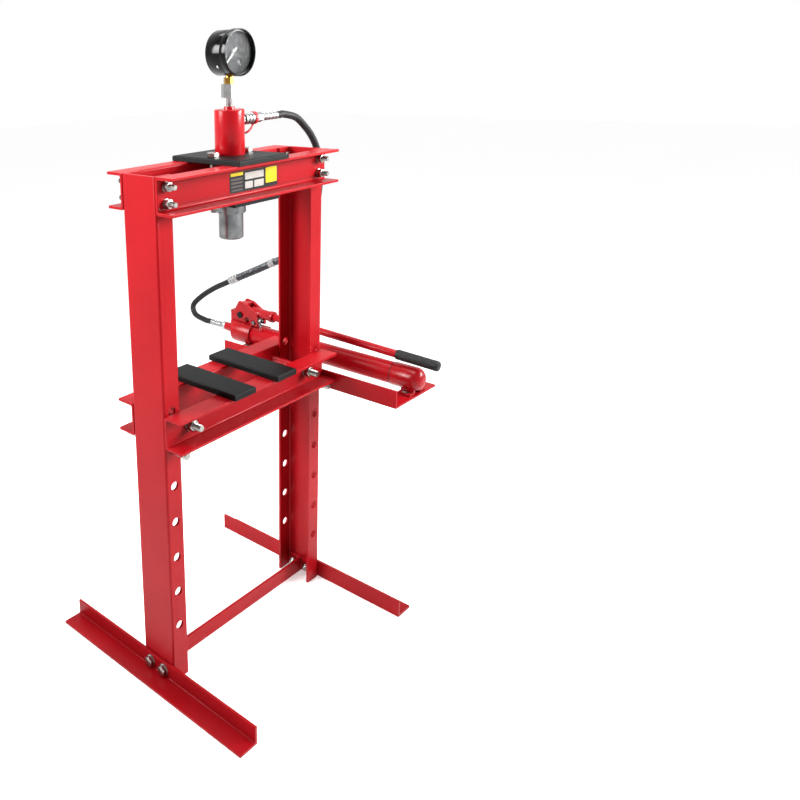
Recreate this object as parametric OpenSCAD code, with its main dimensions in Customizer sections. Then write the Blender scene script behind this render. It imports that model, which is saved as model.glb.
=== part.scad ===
// Hydraulic H-frame shop press with a hand pump on a side tray. Sizes are in mm.
// X runs across the columns, Y from the front (minus) to the pump head (plus), Z up.

/* [Frame] */
// Width over the outer faces of the two columns
frame_w = 554; // [530:1:580]
// Height of the columns
frame_h = 1180; // [1120:5:1240]
// Width of a column's web
col_w = 100; // [96:1:106]
// Depth of a column's flanges
col_d = 46; // [44:1:50]
// Thickness of a column's steel
col_t = 6; // [5:0.5:7]
// Height of an upper beam
beam_h = 78; // [72:1:84]
// Depth of an upper beam's flanges
beam_d = 47; // [42:1:52]
// Thickness of an upper beam's steel
beam_t = 6; // [5:0.5:7]

/* [Bed] */
// Height of a bed channel
bed_h = 76; // [70:1:80]
// Depth of a bed channel's flanges
bed_d = 50; // [44:1:54]
// Thickness of a bed channel's steel
bed_t = 6; // [5:0.5:7]
// Distance between the column holes
hole_pitch = 88.5; // [86:0.5:92]
// Diameter of the column holes
hole_d = 20; // [19:0.5:21]
// Diameter of the bed's support pins
pin_d = 18; // [16:0.5:18.5]
// Length of a press plate
press_plate_len = 220; // [200:2:230]
// Width of a press plate
press_plate_w = 70; // [60:1:74]
// Thickness of a press plate
press_plate_t = 14; // [10:1:20]

/* [Feet] */
// Length of a foot
foot_len = 600; // [560:5:640]
// Width of a foot's flat leg
foot_w = 54; // [48:1:60]
// Height of a foot's upright leg
foot_h = 44; // [42:1:50]
// Thickness of a foot's steel
foot_t = 6; // [5:0.5:7]
// Height of the lower brace
brace_h = 40; // [36:1:44]

/* [Cylinder] */
// Width of the top plate across the beams
plate_x = 164; // [156:1:176]
// Depth of the top plate over both beams
plate_y = 202; // [190:1:206]
// Thickness of the top plate and of the clamp plate
plate_t = 12; // [10:1:14]
// Diameter of the ram
ram_d = 56; // [52:1:58]
// Height of the barrel above the top plate
barrel_h = 99; // [94:1:106]
// Length of ram that shows at rest
ram_show = 60; // [50:1:70]

/* [Gauge] */
// Outer diameter of the gauge's bezel
gauge_d = 100; // [92:1:108]
// Depth of the gauge's case
gauge_depth = 47; // [43:1:51]

/* [Pump] */
// Distance from the column's outer face to the pump's axis
pump_off = 108; // [104:1:112]
// Diameter of the reservoir tank
tank_d = 56; // [50:1:58]
// Length of the reservoir tank
tank_len = 462; // [445:1:470]
// Diameter of the pump head's collar
head_d = 68; // [62:1:68]
// Diameter of the plunger
plunger_d = 16; // [14:1:17]
// Diameter of the handle tube
handle_d = 20; // [18:1:21]
// Diameter of the grip
grip_d = 26; // [25:1:30]
// Outer diameter of the hose
hose_d = 15; // [13:0.5:16]

/* [Hidden] */
// Sides of round faces, of hexagons and of the hose
$fn = 64;
hex_fn = 6;
hose_fn = 10;
// Half the angle of one side of a hexagon
hex_half = 30;
// Overrun of all cuts, running clearance of a shaft and of a thread
over = 2;
run_gap = 0.05;
thread_gap = 0.05;

// Corner radii of the rolled channels, outside and inside
roll_r = 5;
fillet_r = 4;

// Column holes: distance in from the outer face, height of the lowest, how many, how many below the bed's
hole_in = 24;
hole_low = 141;
hole_count = 7;
holes_below_count = 5;
side_x = frame_w / 2;
hole_x = side_x - hole_in;
pin_z = hole_low + holes_below_count * hole_pitch - (hole_d - pin_d) / 2;
pin_short = 5;
pin_len = col_w + 2 * bed_d - 2 * pin_short;
pin_chamfer = 1.5;
bed_bottom = pin_z + pin_d / 2;
bed_top = bed_bottom + bed_h;

// M12 bolts of the beams and feet
bolt_d = 12;
bolt_hole_d = 13;
bolt_af = 19;
bolt_head = 8;
nut_h = 10;
washer_d = 22;
washer_t = 2.5;
tip_chamfer = 1.2;
beam_bolt_gap = 35;
beam_bolt_show = 15;
beam_stack = col_t + beam_t;
beam_bolt_len = beam_stack + washer_t + nut_h + beam_bolt_show;
beam_mid = frame_h - beam_h / 2;

// M16 tie rods that hold the bed channels against the columns
tie_d = 16;
tie_hole_d = 17;
tie_af = 24;
tie_nut_h = 13;
tie_washer_d = 30;
tie_washer_t = 3;
tie_show = 21;
tie_gap = 16;
tie_x = side_x - col_d - tie_gap - tie_d / 2;
tie_z = bed_bottom + bed_h / 2;
tie_face = col_w / 2 + bed_t;
tie_end = tie_face + tie_washer_t + tie_nut_h + tie_show;
// Spacer tubes round the tie rods, welded to the rear channel
spacer_d = 26;
spacer_gap = 0.3;
spacer_weld = 3;

// Press plates: places across the bed and edge chamfer
press_left_x = -82;
press_right_x = 65;
press_chamfer = 2;

// Feet and brace: bolt places, brace bar and end tab
foot_bolt_y = 22;
foot_bolt_z = 22;
brace_t = 6;
brace_lift = 3;
brace_tab_w = 70;
foot_bolt_show = 6;
foot_bolt_af = 22;
foot_bolt_head = 11;
foot_flange_d = 28;
foot_flange_h = 2.5;
foot_bolt_len = foot_t + col_t + brace_t + nut_h + foot_bolt_show;

// Top plate, clamp plate and the bolts that pull them together between the beams
plate_chamfer = 2;
clamp_x = 150;
clamp_y = 160;
clamp_bolt_d = 16;
clamp_hole_d = 17;
clamp_af = 24;
clamp_head = 10;
clamp_nut_h = 13;
clamp_show = 8;
clamp_bolt_x = 56;
clamp_low = frame_h - beam_h - plate_t;
clamp_len = plate_t + beam_h + plate_t + clamp_nut_h + clamp_show;

// Barrel, neck through the plates, lock ring
neck_wall = 3.5;
shoulder = 2;
bore_d = ram_d + 2 * run_gap;
neck_d = bore_d + 2 * neck_wall;
barrel_d = neck_d + 2 * shoulder;
neck_gap = 0.2;
plate_top = frame_h + plate_t;
barrel_top = plate_top + barrel_h;
barrel_roof = 13;
barrel_chamfer = 2;
ring_wide = 0.5;
ring_d = barrel_d + 2 * ring_wide;
ring_h = 28;
ring_lip = 6;
ring_lip_gap = 0.3;
ring_low = clamp_low - ring_h;
slot_count = 6;
slot_w = 8;
slot_h = 5;

// Ram: hollow for the return spring, with a seal near its top
ram_nose = ring_low - ram_show;
ram_head_gap = 14;
ram_top = barrel_top - barrel_roof - ram_head_gap;
ram_hollow_d = 36;
ram_floor = 28;
ram_chamfer = 3;
seal_h = 8;
seal_depth = 4;
seal_in = 24;
seal_low = ram_top - seal_in;

// Return spring
spring_d = 28;
spring_wire = 4;
spring_turns = 16;
spring_wides = 12;
spring_sides = 6;
spring_gap = 0.3;
spring_seat = 0.02;
spring_low = ram_nose + ram_floor + spring_wire / 2 + spring_gap;
spring_high = barrel_top - barrel_roof - spring_wire / 2 + spring_seat;

// Stack from the barrel to the gauge
boss_d = 24;
boss_h = 6;
rod_d = 13;
rod_in = 10;
rod_h = 19;
coupling_af = 30;
coupling_h = 29;
stem_af = 20;
stem_h = 17.5;
stem_neck_d = 14;
stem_in = 5;
rod_low = barrel_top + boss_h;
coupling_low = rod_low + rod_h;
stem_low = coupling_low + coupling_h;

// Gauge, measured along its own axis from the back of the case
gauge_back_y = 23;
case_wall = 3;
case_gap = 0.1;
bezel_wall = 1.5;
bezel_lap = 6;
bezel_lip = 5;
bezel_lip_t = 3;
bezel_rim = 5.5;
bezel_rim_t = 2.5;
lens_t = 3;
dial_t = 1.5;
dial_gap = 0.4;
dial_z = 32;
pillar_d = 18;
post_d = 3;
post_h = 8;
needle_lift = 3.5;
needle_t = 1.2;
needle_hub_d = 9;
needle_len = 34;
needle_tail = 11;
needle_base_w = 4.4;
needle_tip_w = 1.4;
needle_angle = 225;
case_d = gauge_d - 2 * bezel_wall;
gauge_z = stem_low + stem_h + case_d / 2;

// Coupler on the barrel's side, measured along X
port_drop = 25;
port_z = barrel_top - port_drop;
port_d = 12;
port_in = 4;
nipple_af = 18;
nipple_seat = 1;
nipple_h = 12;
nipple_shaft_d = 12.5;
sleeve_d = 26;
sleeve_h = 30;
sleeve_groove = 2;
sleeve_groove_w = 4;
sleeve_groove_shares = [0.25, 0.6];
dust_ring_d = 29;
dust_ring_t = 8;
hose_nut_af = 20;
hose_nut_h = 22;
shaft_in_nut = 10;
hose_end_d = 18;
hose_end_crimp = 1;
hose_end_len = 56;
hose_end_bands = 4;
coupler_x = barrel_d / 2 - nipple_seat;
sleeve_x = coupler_x + nipple_seat + nipple_h;
dust_x = sleeve_x + sleeve_h;
hose_nut_x = dust_x + dust_ring_t;
hose_end_x = hose_nut_x + hose_nut_h;

// Dust strap: hand-placed points from the ring to the cap, measured from the middle of the ring's face
strap_d = 5;
strap_fn = 8;
strap_steps = 3;
strap_shape = [[4, 0, -13], [-3, -2, -20], [-13, -3, -27], [-22, 2, -32], [-28, 13, -34], [-30, 26, -34]];
strap_route = [for (p = strap_shape) p + [dust_x, 0, port_z]];
cap_top_d = 16;
cap_base_d = 22;
cap_h = 20;
strap_end = strap_route[len(strap_route) - 1];

// Free middle of the hose's route, hand placed: over the column, down behind it and round to the pump
hose_free = [[236, 0, 1255], [270, 0, 1232], [298, 0, 1206], [320, 0, 1174], [338, 4, 1132], [354, 14, 1084],
    [372, 34, 1022], [394, 64, 957], [417, 102, 898], [434, 152, 854], [440, 196, 835], [444, 232, 819],
    [442, 300, 784], [437, 370, 749], [431, 414, 726], [424, 462, 700], [415, 508, 667], [407, 536, 635],
    [397, 517, 611]];
// Straight lead of the hose out of each hose end, in equal steps
hose_lead = 14;
lead_steps = 2;
hose_steps = 3;
guard_first = 11;
guard_mid = 14;
guard_last = 16;
guard_wall = 4;
guard_gap = 0.3;
ferrule_wall = 5.5;
ferrule_rings = 2;
clip_rings = 1;

// Pump tray on the outer face of the right column
tray_t = 5;
tray_h = 46;
tray_drop = 26;
tray_reach = 188;
tray_rear_reach = 150;
tray_front_y = -271;
tray_rear_y = 284;
shelf_w = 45;
tray_low = bed_bottom - tray_drop;
shelf_top = tray_low + tray_t;
tray_bolt_d = 10;
tray_bolt_hole_d = 11;
tray_bolt_af = 17;
tray_bolt_head = 7;
tray_nut_h = 8;
tray_bolt_show = 4;
tray_bolt_len = tray_t + col_t + tray_nut_h + tray_bolt_show;
tray_bolt_y = 28;
tray_bolt_rise = 10;
tray_bolt_z = bed_bottom + tray_bolt_rise;

// Pump: axis, head, tank and end cap
pump_x = side_x + pump_off;
pump_rise = 36.5;
pump_z = shelf_top + pump_rise;
head_y = 260;
head_len = 72;
head_round = 6;
tank_wall = 4;
tank_bore_d = tank_d - 2 * tank_wall;
spigot_len = 46;
block_w = 40;
block_front = 42;
block_top = 26;
tower_w = 40;
tower_y = 284;
tower_len = 54;
tower_top = 31;
lug_t = 24;
lug_r = 14;
lug_len = 58;
lug_back = 44;
lug_back_rise = 6;
outlet_base_d = 30;
outlet_tip_d = 24;
outlet_len = 42;
outlet_bore_d = 10;
outlet_bore_len = 30;
cap_end_len = 80;
cap_wide = 2;
cap_d = tank_d + 2 * cap_wide;
cap_round = 25;
cap_spigot = 12;
tank_end_y = head_y - tank_len;
rear_foot_w = 80;
rear_foot_y = 265;
rear_bolt_x = 32;
front_foot_w = 72;
front_foot_y = -248;
front_bolt_x = 29;
foot_block_len = 36;
foot_web_w = 36;
foot_flange_t = 6;
foot_arch_w = 24;
foot_arch_h = 10;
pump_bolt_d = 8;
pump_bolt_hole_d = 9;
pump_bolt_af = 13;
pump_bolt_head = 5;
pump_bolt_tip = 4;
pump_bolt_len = foot_flange_t + tray_t + pump_bolt_tip;

// Lever, plunger and their pins
pivot_y = 300;
arm = 50;
pin_angle = 16;
pivot_pin_d = 12;
pivot_head_d = 18;
pivot_head_t = 4;
plunger_pin_d = 10;
plunger_y = pivot_y - arm;
eye_rise = 42;
eye_r = 8;
pivot_rise = eye_rise + arm * tan(pin_angle);
plunger_low = -17;
plunger_bore_low = -18;
gland_af = 19;
gland_h = 7;
side_gap = 0.5;
yoke_t = 8;
yoke_in = lug_t / 2 + side_gap;
yoke_out = yoke_in + yoke_t;
yoke_back = 20;
yoke_low = 12;
yoke_mid = 16;
yoke_top = 40;
yoke_top_y = 6;
yoke_crown_y = -20;
yoke_crown = 36;
ear_front = 64;
ear_back = 38;
ear_low = 24;
ear_top = 12;
arch_z = -3;
arch_front = 34;
arch_back = 22;
bridge_h = 8;
pin_slot_gap = 0.7;
pin_slot_lift = 0.3;
pin_slot_near = 49.5;
pin_slot_far = 55.5;
plunger_pin_over = 2;
handle_lift = 13.6;
handle_tilt = 2;
socket_d = 28;
socket_back_y = 268;
socket_front_y = 190;
socket_collar_d = 32;
socket_collar_len = 12;
grip_back_y = -206;
grip_front_y = -320;
grip_wall = 6;
grip_round = 4;
handle_back_y = 250;

// Release valve on the pump head's side
valve_y = 312;
valve_z = -2;
valve_d = 10;
valve_in = 22;
valve_gap = 1.5;
valve_knob_d = 24;
valve_knob_t = 14;
valve_bar_d = 5;
valve_bar_len = 40;
valve_boss_d = 22;
valve_boss_len = 6;

// Pump-end hose fittings, measured along Y
pump_nut_af = 22;
pump_nut_h = 14;
pump_end_d = 18;
outlet_y = head_y + head_len + outlet_len;
pump_nut_y = outlet_y;
pump_end_y = pump_nut_y + pump_nut_h;
pump_end_len = 46;

// Whole route of the hose
hose_start = [hose_end_x + hose_end_len, 0, port_z];
hose_finish = [pump_x, pump_end_y + pump_end_len, pump_z];
hose_route = concat([for (i = [0 : lead_steps]) hose_start + [i * hose_lead, 0, 0]], hose_free,
    [for (i = [lead_steps : -1 : 0]) hose_finish + [0, i * hose_lead, 0]]);

// Middle of the outline on the floor, which is the origin
mid_x = (tray_reach - foot_w) / 2;
mid_y = (pump_end_y + grip_front_y) / 2;

module place() {
    translate([-mid_x, -mid_y, 0])
        children();
}

module along_x() {
    rotate([0, 90, 0])
        children();
}

module along_y() {
    rotate([-90, 0, 0])
        children();
}

// Turns an outline drawn in Y and Z into a solid along X
module extrude_x(len) {
    rotate([90, 0, 90])
        linear_extrude(height = len)
            children();
}

module mirror_x() {
    children();
    mirror([1, 0, 0])
        children();
}

module mirror_y() {
    children();
    mirror([0, 1, 0])
        children();
}

module hexagon(af, h) {
    cylinder(d = af / cos(hex_half), h = h, $fn = hex_fn);
}

module ring(d_out, d_in, h) {
    difference() {
        cylinder(d = d_out, h = h);
        translate([0, 0, -over])
            cylinder(d = d_in, h = h + 2 * over);
    }
}

module tipped_rod(d, len, chamfer) {
    cylinder(d = d, h = len - chamfer);
    translate([0, 0, len - chamfer])
        cylinder(d1 = d, d2 = d - 2 * chamfer, h = chamfer);
}

module hex_bolt(d, len, af, head) {
    tipped_rod(d, len, tip_chamfer);
    translate([0, 0, -head])
        hexagon(af, head);
}

module hex_nut(d, af, h) {
    difference() {
        hexagon(af, h);
        translate([0, 0, -over])
            cylinder(d = d + 2 * thread_gap, h = h + 2 * over);
    }
}

// Square-ended band whose two corners at x = 0 are round
module round_backed(depth, w, r) {
    translate([r, -w / 2])
        square([depth - r, w]);
    translate([0, r - w / 2])
        square([depth, w - 2 * r]);
    for (s = [-1, 1])
        translate([r, s * (w / 2 - r)])
            circle(r = r);
}

// Rolled channel outline: web at x = 0, flanges towards plus X
module channel_2d(w, depth, t) {
    difference() {
        round_backed(depth, w, roll_r);
        translate([t, 0])
            round_backed(depth, w - 2 * t, fillet_r);
    }
}

module column() {
    difference() {
        translate([-side_x, 0, 0])
            linear_extrude(height = frame_h)
                channel_2d(col_w, col_d, col_t);
        for (i = [0 : hole_count - 1])
            translate([-hole_x, -col_w / 2 - over, hole_low + i * hole_pitch])
                along_y()
                    cylinder(d = hole_d, h = col_w + 2 * over);
        for (s = [-1, 1])
            translate([-hole_x, -col_w / 2 - over, beam_mid + s * beam_bolt_gap / 2])
                along_y()
                    cylinder(d = bolt_hole_d, h = col_w + 2 * over);
        for (s = [-1, 1])
            translate([-side_x - over, s * foot_bolt_y, foot_bolt_z])
                along_x()
                    cylinder(d = bolt_hole_d, h = col_t + 2 * over);
    }
}

module column_left() {
    color("firebrick")
        place()
            column();
}

module column_right() {
    color("firebrick")
        place()
            difference() {
                mirror([1, 0, 0])
                    column();
                for (s = [-1, 1])
                    translate([side_x - col_t - over, s * tray_bolt_y, tray_bolt_z])
                        along_x()
                            cylinder(d = tray_bolt_hole_d, h = col_t + 2 * over);
            }
}

module upper_beam() {
    difference() {
        translate([-side_x, col_w / 2, beam_mid])
            extrude_x(frame_w)
                channel_2d(beam_h, beam_d, beam_t);
        for (sx = [-1, 1], sz = [-1, 1])
            translate([sx * hole_x, col_w / 2 - over, beam_mid + sz * beam_bolt_gap / 2])
                along_y()
                    cylinder(d = bolt_hole_d, h = beam_t + 2 * over);
    }
}

module beam_front() {
    color("firebrick")
        place()
            mirror([0, 1, 0])
                upper_beam();
}

module beam_rear() {
    color("firebrick")
        place()
            upper_beam();
}

// Repeats its child at every beam bolt, along the bolt towards plus Y on the rear and minus Y on the front
module at_beam_bolts(y) {
    mirror_y()
        for (sx = [-1, 1], sz = [-1, 1])
            translate([sx * hole_x, y, beam_mid + sz * beam_bolt_gap / 2])
                along_y()
                    children();
}

module beam_bolts() {
    color("silver")
        place()
            at_beam_bolts(col_w / 2 - col_t)
                hex_bolt(bolt_d, beam_bolt_len, bolt_af, bolt_head);
}

module beam_washers() {
    color("silver")
        place()
            at_beam_bolts(col_w / 2 + beam_t)
                ring(washer_d, bolt_hole_d, washer_t);
}

module beam_nuts() {
    color("silver")
        place()
            at_beam_bolts(col_w / 2 + beam_t + washer_t)
                hex_nut(bolt_d, bolt_af, nut_h);
}

module bed_channel() {
    difference() {
        translate([-side_x, col_w / 2, tie_z])
            extrude_x(frame_w)
                channel_2d(bed_h, bed_d, bed_t);
        for (s = [-1, 1])
            translate([s * tie_x, col_w / 2 - over, tie_z])
                along_y()
                    cylinder(d = tie_hole_d, h = bed_t + 2 * over);
    }
}

module bed_front() {
    color("firebrick")
        place()
            mirror([0, 1, 0])
                bed_channel();
}

// Spacer tubes from the rear channel's web almost to the front one's
module tie_spacers() {
    len = col_w - spacer_gap + spacer_weld;
    for (s = [-1, 1])
        translate([s * tie_x, spacer_gap - col_w / 2, tie_z])
            along_y()
                ring(spacer_d, tie_hole_d, len);
}

module bed_rear() {
    color("firebrick")
        place() {
            bed_channel();
            tie_spacers();
        }
}

module bed_pins() {
    color("silver")
        place()
            for (s = [-1, 1])
                translate([s * hole_x, 0, pin_z])
                    mirror_y()
                        along_y()
                            tipped_rod(pin_d, pin_len / 2, pin_chamfer);
}

module tie_rods() {
    color("silver")
        place()
            for (s = [-1, 1])
                translate([s * tie_x, 0, tie_z])
                    mirror_y()
                        along_y()
                            tipped_rod(tie_d, tie_end, tip_chamfer);
}

module at_tie_faces(y) {
    mirror_y()
        for (s = [-1, 1])
            translate([s * tie_x, y, tie_z])
                along_y()
                    children();
}

module tie_washers() {
    color("silver")
        place()
            at_tie_faces(tie_face)
                ring(tie_washer_d, tie_hole_d, tie_washer_t);
}

module tie_nuts() {
    color("silver")
        place()
            at_tie_faces(tie_face + tie_washer_t)
                hex_nut(tie_d, tie_af, tie_nut_h);
}

// Outline of a slab with chamfered upper edges, drawn across its width
module chamfered_2d(w, t, c) {
    polygon([[-w / 2, 0], [w / 2, 0], [w / 2, t - c], [w / 2 - c, t], [c - w / 2, t], [-w / 2, t - c]]);
}

// Slab whose upper edges are chamfered all round
module chamfered_slab(x, y, t, c) {
    intersection() {
        translate([-x / 2, 0, 0])
            extrude_x(x)
                chamfered_2d(y, t, c);
        rotate([0, 0, 90])
            translate([-y / 2, 0, 0])
                extrude_x(y)
                    chamfered_2d(x, t, c);
    }
}

module press_plate(x) {
    color("dimgray")
        place()
            translate([x, 0, bed_top])
                chamfered_slab(press_plate_w, press_plate_len, press_plate_t, press_chamfer);
}

module press_plate_left() {
    press_plate(press_left_x);
}

module press_plate_right() {
    press_plate(press_right_x);
}

// Angle outline: upright leg at x = 0, flat leg on the floor, with the inner corner rolled round
module angle_2d() {
    square([foot_t, foot_h]);
    square([foot_w, foot_t]);
    translate([foot_t, foot_t])
        difference() {
            square([fillet_r, fillet_r]);
            translate([fillet_r, fillet_r])
                circle(r = fillet_r);
        }
}

module foot() {
    difference() {
        translate([side_x, foot_len / 2, 0])
            rotate([90, 0, 0])
                linear_extrude(height = foot_len)
                    angle_2d();
        for (s = [-1, 1])
            translate([side_x - over, s * foot_bolt_y, foot_bolt_z])
                along_x()
                    cylinder(d = bolt_hole_d, h = foot_t + 2 * over);
    }
}

module foot_left() {
    color("firebrick")
        place()
            mirror([1, 0, 0])
                foot();
}

module foot_right() {
    color("firebrick")
        place()
            foot();
}

module lower_brace() {
    brace_x = side_x - col_t;
    color("firebrick")
        place()
            difference() {
                union() {
                    translate([-brace_x, -brace_t / 2, brace_lift])
                        cube([2 * brace_x, brace_t, brace_h]);
                    mirror_x()
                        translate([brace_x - brace_t, -brace_tab_w / 2, brace_lift])
                            cube([brace_t, brace_tab_w, brace_h]);
                }
                for (s = [-1, 1])
                    translate([-brace_x - over, s * foot_bolt_y, foot_bolt_z])
                        along_x()
                            cylinder(d = bolt_hole_d, h = 2 * brace_x + 2 * over);
            }
}

// Repeats its child at every foot bolt, with the local axis pointing in towards the middle of the press
module at_foot_bolts(x) {
    mirror_x()
        for (s = [-1, 1])
            translate([-x, s * foot_bolt_y, foot_bolt_z])
                along_x()
                    children();
}

// Foot bolt, whose head ends in a wide flange
module flange_bolt() {
    hex_bolt(bolt_d, foot_bolt_len, foot_bolt_af, foot_bolt_head);
    mirror([0, 0, 1])
        cylinder(d = foot_flange_d, h = foot_flange_h);
}

module foot_bolts() {
    color("silver")
        place()
            at_foot_bolts(side_x + foot_t)
                flange_bolt();
}

module foot_nuts() {
    color("silver")
        place()
            at_foot_bolts(side_x - col_t - brace_t)
                hex_nut(bolt_d, bolt_af, nut_h);
}

// Holes of the neck and of the two clamp bolts
module clamp_holes() {
    translate([0, 0, -over])
        cylinder(d = neck_d + 2 * neck_gap, h = plate_t + 2 * over);
    for (s = [-1, 1])
        translate([s * clamp_bolt_x, 0, -over])
            cylinder(d = clamp_hole_d, h = plate_t + 2 * over);
}

module top_plate() {
    color("dimgray")
        place()
            translate([0, 0, frame_h])
                difference() {
                    chamfered_slab(plate_x, plate_y, plate_t, plate_chamfer);
                    clamp_holes();
                }
}

module clamp_plate() {
    color("dimgray")
        place()
            translate([0, 0, clamp_low])
                difference() {
                    translate([-clamp_x / 2, -clamp_y / 2, 0])
                        cube([clamp_x, clamp_y, plate_t]);
                    clamp_holes();
                }
}

module clamp_bolts() {
    color("silver")
        place()
            for (s = [-1, 1])
                translate([s * clamp_bolt_x, 0, plate_top])
                    mirror([0, 0, 1])
                        hex_bolt(clamp_bolt_d, clamp_len, clamp_af, clamp_head);
}

module clamp_nuts() {
    color("silver")
        place()
            for (s = [-1, 1])
                translate([s * clamp_bolt_x, 0, clamp_low - clamp_nut_h])
                    hex_nut(clamp_bolt_d, clamp_af, clamp_nut_h);
}

module barrel() {
    neck_low = ring_low + ring_lip;
    bore_top = barrel_top - barrel_roof;
    color("firebrick")
        place()
            difference() {
                union() {
                    translate([0, 0, neck_low])
                        cylinder(d = neck_d, h = plate_top - neck_low);
                    translate([0, 0, plate_top])
                        cylinder(d = barrel_d, h = barrel_h - barrel_chamfer);
                    translate([0, 0, barrel_top - barrel_chamfer])
                        cylinder(d1 = barrel_d, d2 = barrel_d - 2 * barrel_chamfer, h = barrel_chamfer);
                    translate([0, 0, barrel_top])
                        cylinder(d = boss_d, h = boss_h);
                }
                translate([0, 0, neck_low - over])
                    cylinder(d = bore_d, h = bore_top - neck_low + over);
                translate([0, 0, rod_low - rod_in])
                    cylinder(d = rod_d, h = rod_in + over);
                translate([coupler_x, 0, port_z])
                    along_x()
                        cylinder(d = nipple_af + 2 * over, h = nipple_seat + over);
                translate([coupler_x - port_in, 0, port_z])
                    along_x()
                        cylinder(d = port_d, h = port_in + over);
            }
}

module lock_ring() {
    color("silver")
        place()
            translate([0, 0, ring_low])
                difference() {
                    cylinder(d = ring_d, h = ring_h);
                    translate([0, 0, ring_lip])
                        cylinder(d = neck_d, h = ring_h);
                    translate([0, 0, -over])
                        cylinder(d = bore_d + 2 * ring_lip_gap, h = ring_h);
                    for (i = [0 : slot_count - 1])
                        rotate([0, 0, i * 360 / slot_count])
                            translate([neck_d / 2, -slot_w / 2, -over])
                                cube([ring_d, slot_w, slot_h + over]);
                }
}

module ram() {
    color("lightgray")
        place()
            difference() {
                union() {
                    translate([0, 0, ram_nose])
                        cylinder(d1 = ram_d - 2 * ram_chamfer, d2 = ram_d, h = ram_chamfer);
                    translate([0, 0, ram_nose + ram_chamfer])
                        cylinder(d = ram_d, h = ram_top - ram_nose - ram_chamfer);
                }
                translate([0, 0, ram_nose + ram_floor])
                    cylinder(d = ram_hollow_d, h = ram_top - ram_nose);
                translate([0, 0, seal_low])
                    ring(ram_d + over, ram_d - 2 * seal_depth, seal_h);
            }
}

module ram_seal() {
    color("black")
        place()
            translate([0, 0, seal_low])
                ring(ram_d, ram_d - 2 * seal_depth, seal_h);
}

function unit(v) = v / norm(v);

// Ring of points round p, square to the direction t and turned from the reference r
function ring_at(p, t, r, rad, n) =
    let (u = unit(cross(unit(t), r)), v = cross(unit(t), u))
        [for (k = [0 : n - 1]) p + rad * (cos(k * 360 / n) * u + sin(k * 360 / n) * v)];

// Smooth curve through the points of a route, with a number of steps in each span
function curve_point(a, b, c, d, s) =
    (2 * b + (c - a) * s + (2 * a - 5 * b + 4 * c - d) * s * s + (3 * b - a - 3 * c + d) * s * s * s) / 2;
function route_curve(p, steps) =
    let (n = len(p) - 1)
        [for (i = [0 : n - 1], k = [0 : steps - 1])
            curve_point(p[max(i - 1, 0)], p[i], p[i + 1], p[min(i + 2, n)], k / steps), p[n]];
function slice(list, first, last) = [for (i = [first : last]) list[i]];
function tangent(p, i) = p[min(i + 1, len(p) - 1)] - p[max(i - 1, 0)];
function ring_points(p, r, rad, n) =
    [for (i = [0 : len(p) - 1], q = ring_at(p[i], tangent(p, i), r, rad, n)) q];
function skin_faces(first, rings, n) =
    [for (i = [0 : rings - 2], k = [0 : n - 1])
        let (a = first + i * n, k2 = (k + 1) % n)
            [a + k, a + k2, a + n + k2, a + n + k]];
function flipped(faces) = [for (f = faces) [for (i = [len(f) - 1 : -1 : 0]) f[i]]];

// Solid cord along the points p
module cord(p, r, rad, n) {
    m = len(p);
    start = [[for (k = [n - 1 : -1 : 0]) k]];
    end = [[for (k = [0 : n - 1]) (m - 1) * n + k]];
    polyhedron(points = ring_points(p, r, rad, n),
        faces = flipped(concat(start, skin_faces(0, m, n), end)), convexity = m);
}

// Sleeve round a cord along the points p; all its rings follow the cord's own tangents
module sleeve_along(rings_out, rings_in, m, n) {
    inner = m * n;
    caps = [for (k = [0 : n - 1], e = [0, 1])
        let (k2 = (k + 1) % n, a = e * (m - 1) * n)
            e == 0 ? [inner + k, inner + k2, k2, k] : [a + k, a + k2, inner + a + k2, inner + a + k]];
    polyhedron(points = concat(rings_out, rings_in),
        faces = flipped(concat(skin_faces(0, m, n), flipped(skin_faces(inner, m, n)), caps)), convexity = m);
}

module return_spring() {
    steps = spring_turns * spring_wides;
    rise = (spring_high - spring_low) / steps;
    coil = [for (i = [0 : steps])
        let (a = i * 360 / spring_wides)
            [spring_d / 2 * cos(a), spring_d / 2 * sin(a), spring_low + i * rise]];
    color("gray")
        place()
            cord(coil, [0, 0, 1], spring_wire / 2, spring_sides);
}

module gauge_coupling() {
    color("silver")
        place() {
            translate([0, 0, rod_low - rod_in])
                cylinder(d = rod_d, h = rod_in + rod_h);
            translate([0, 0, coupling_low])
                hexagon(coupling_af, coupling_h);
        }
}

module gauge_stem() {
    color("goldenrod")
        place()
            translate([0, 0, stem_low]) {
                hexagon(stem_af, stem_h - case_wall);
                cylinder(d = stem_neck_d, h = stem_h + stem_in);
            }
}

// Places its child on the gauge's axis, from the case's back towards the front
module on_gauge_axis() {
    translate([0, gauge_back_y, gauge_z])
        rotate([90, 0, 0])
            children();
}

module gauge_case() {
    color("black")
        place()
            difference() {
                on_gauge_axis()
                    union() {
                        difference() {
                            cylinder(d = case_d, h = gauge_depth);
                            translate([0, 0, case_wall])
                                cylinder(d = case_d - 2 * case_wall, h = gauge_depth);
                        }
                        cylinder(d = pillar_d, h = dial_z);
                    }
                translate([0, 0, stem_low])
                    cylinder(d = stem_neck_d, h = stem_h + stem_in);
            }
}

module gauge_dial() {
    color("darkslategray")
        place()
            on_gauge_axis()
                translate([0, 0, dial_z]) {
                    cylinder(d = case_d - 2 * case_wall - 2 * dial_gap, h = dial_t);
                    cylinder(d = post_d, h = dial_t + post_h);
                }
}

module gauge_lens() {
    color("aliceblue", 0.4)
        place()
            on_gauge_axis()
                translate([0, 0, gauge_depth])
                    cylinder(d = case_d, h = lens_t);
}

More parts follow.
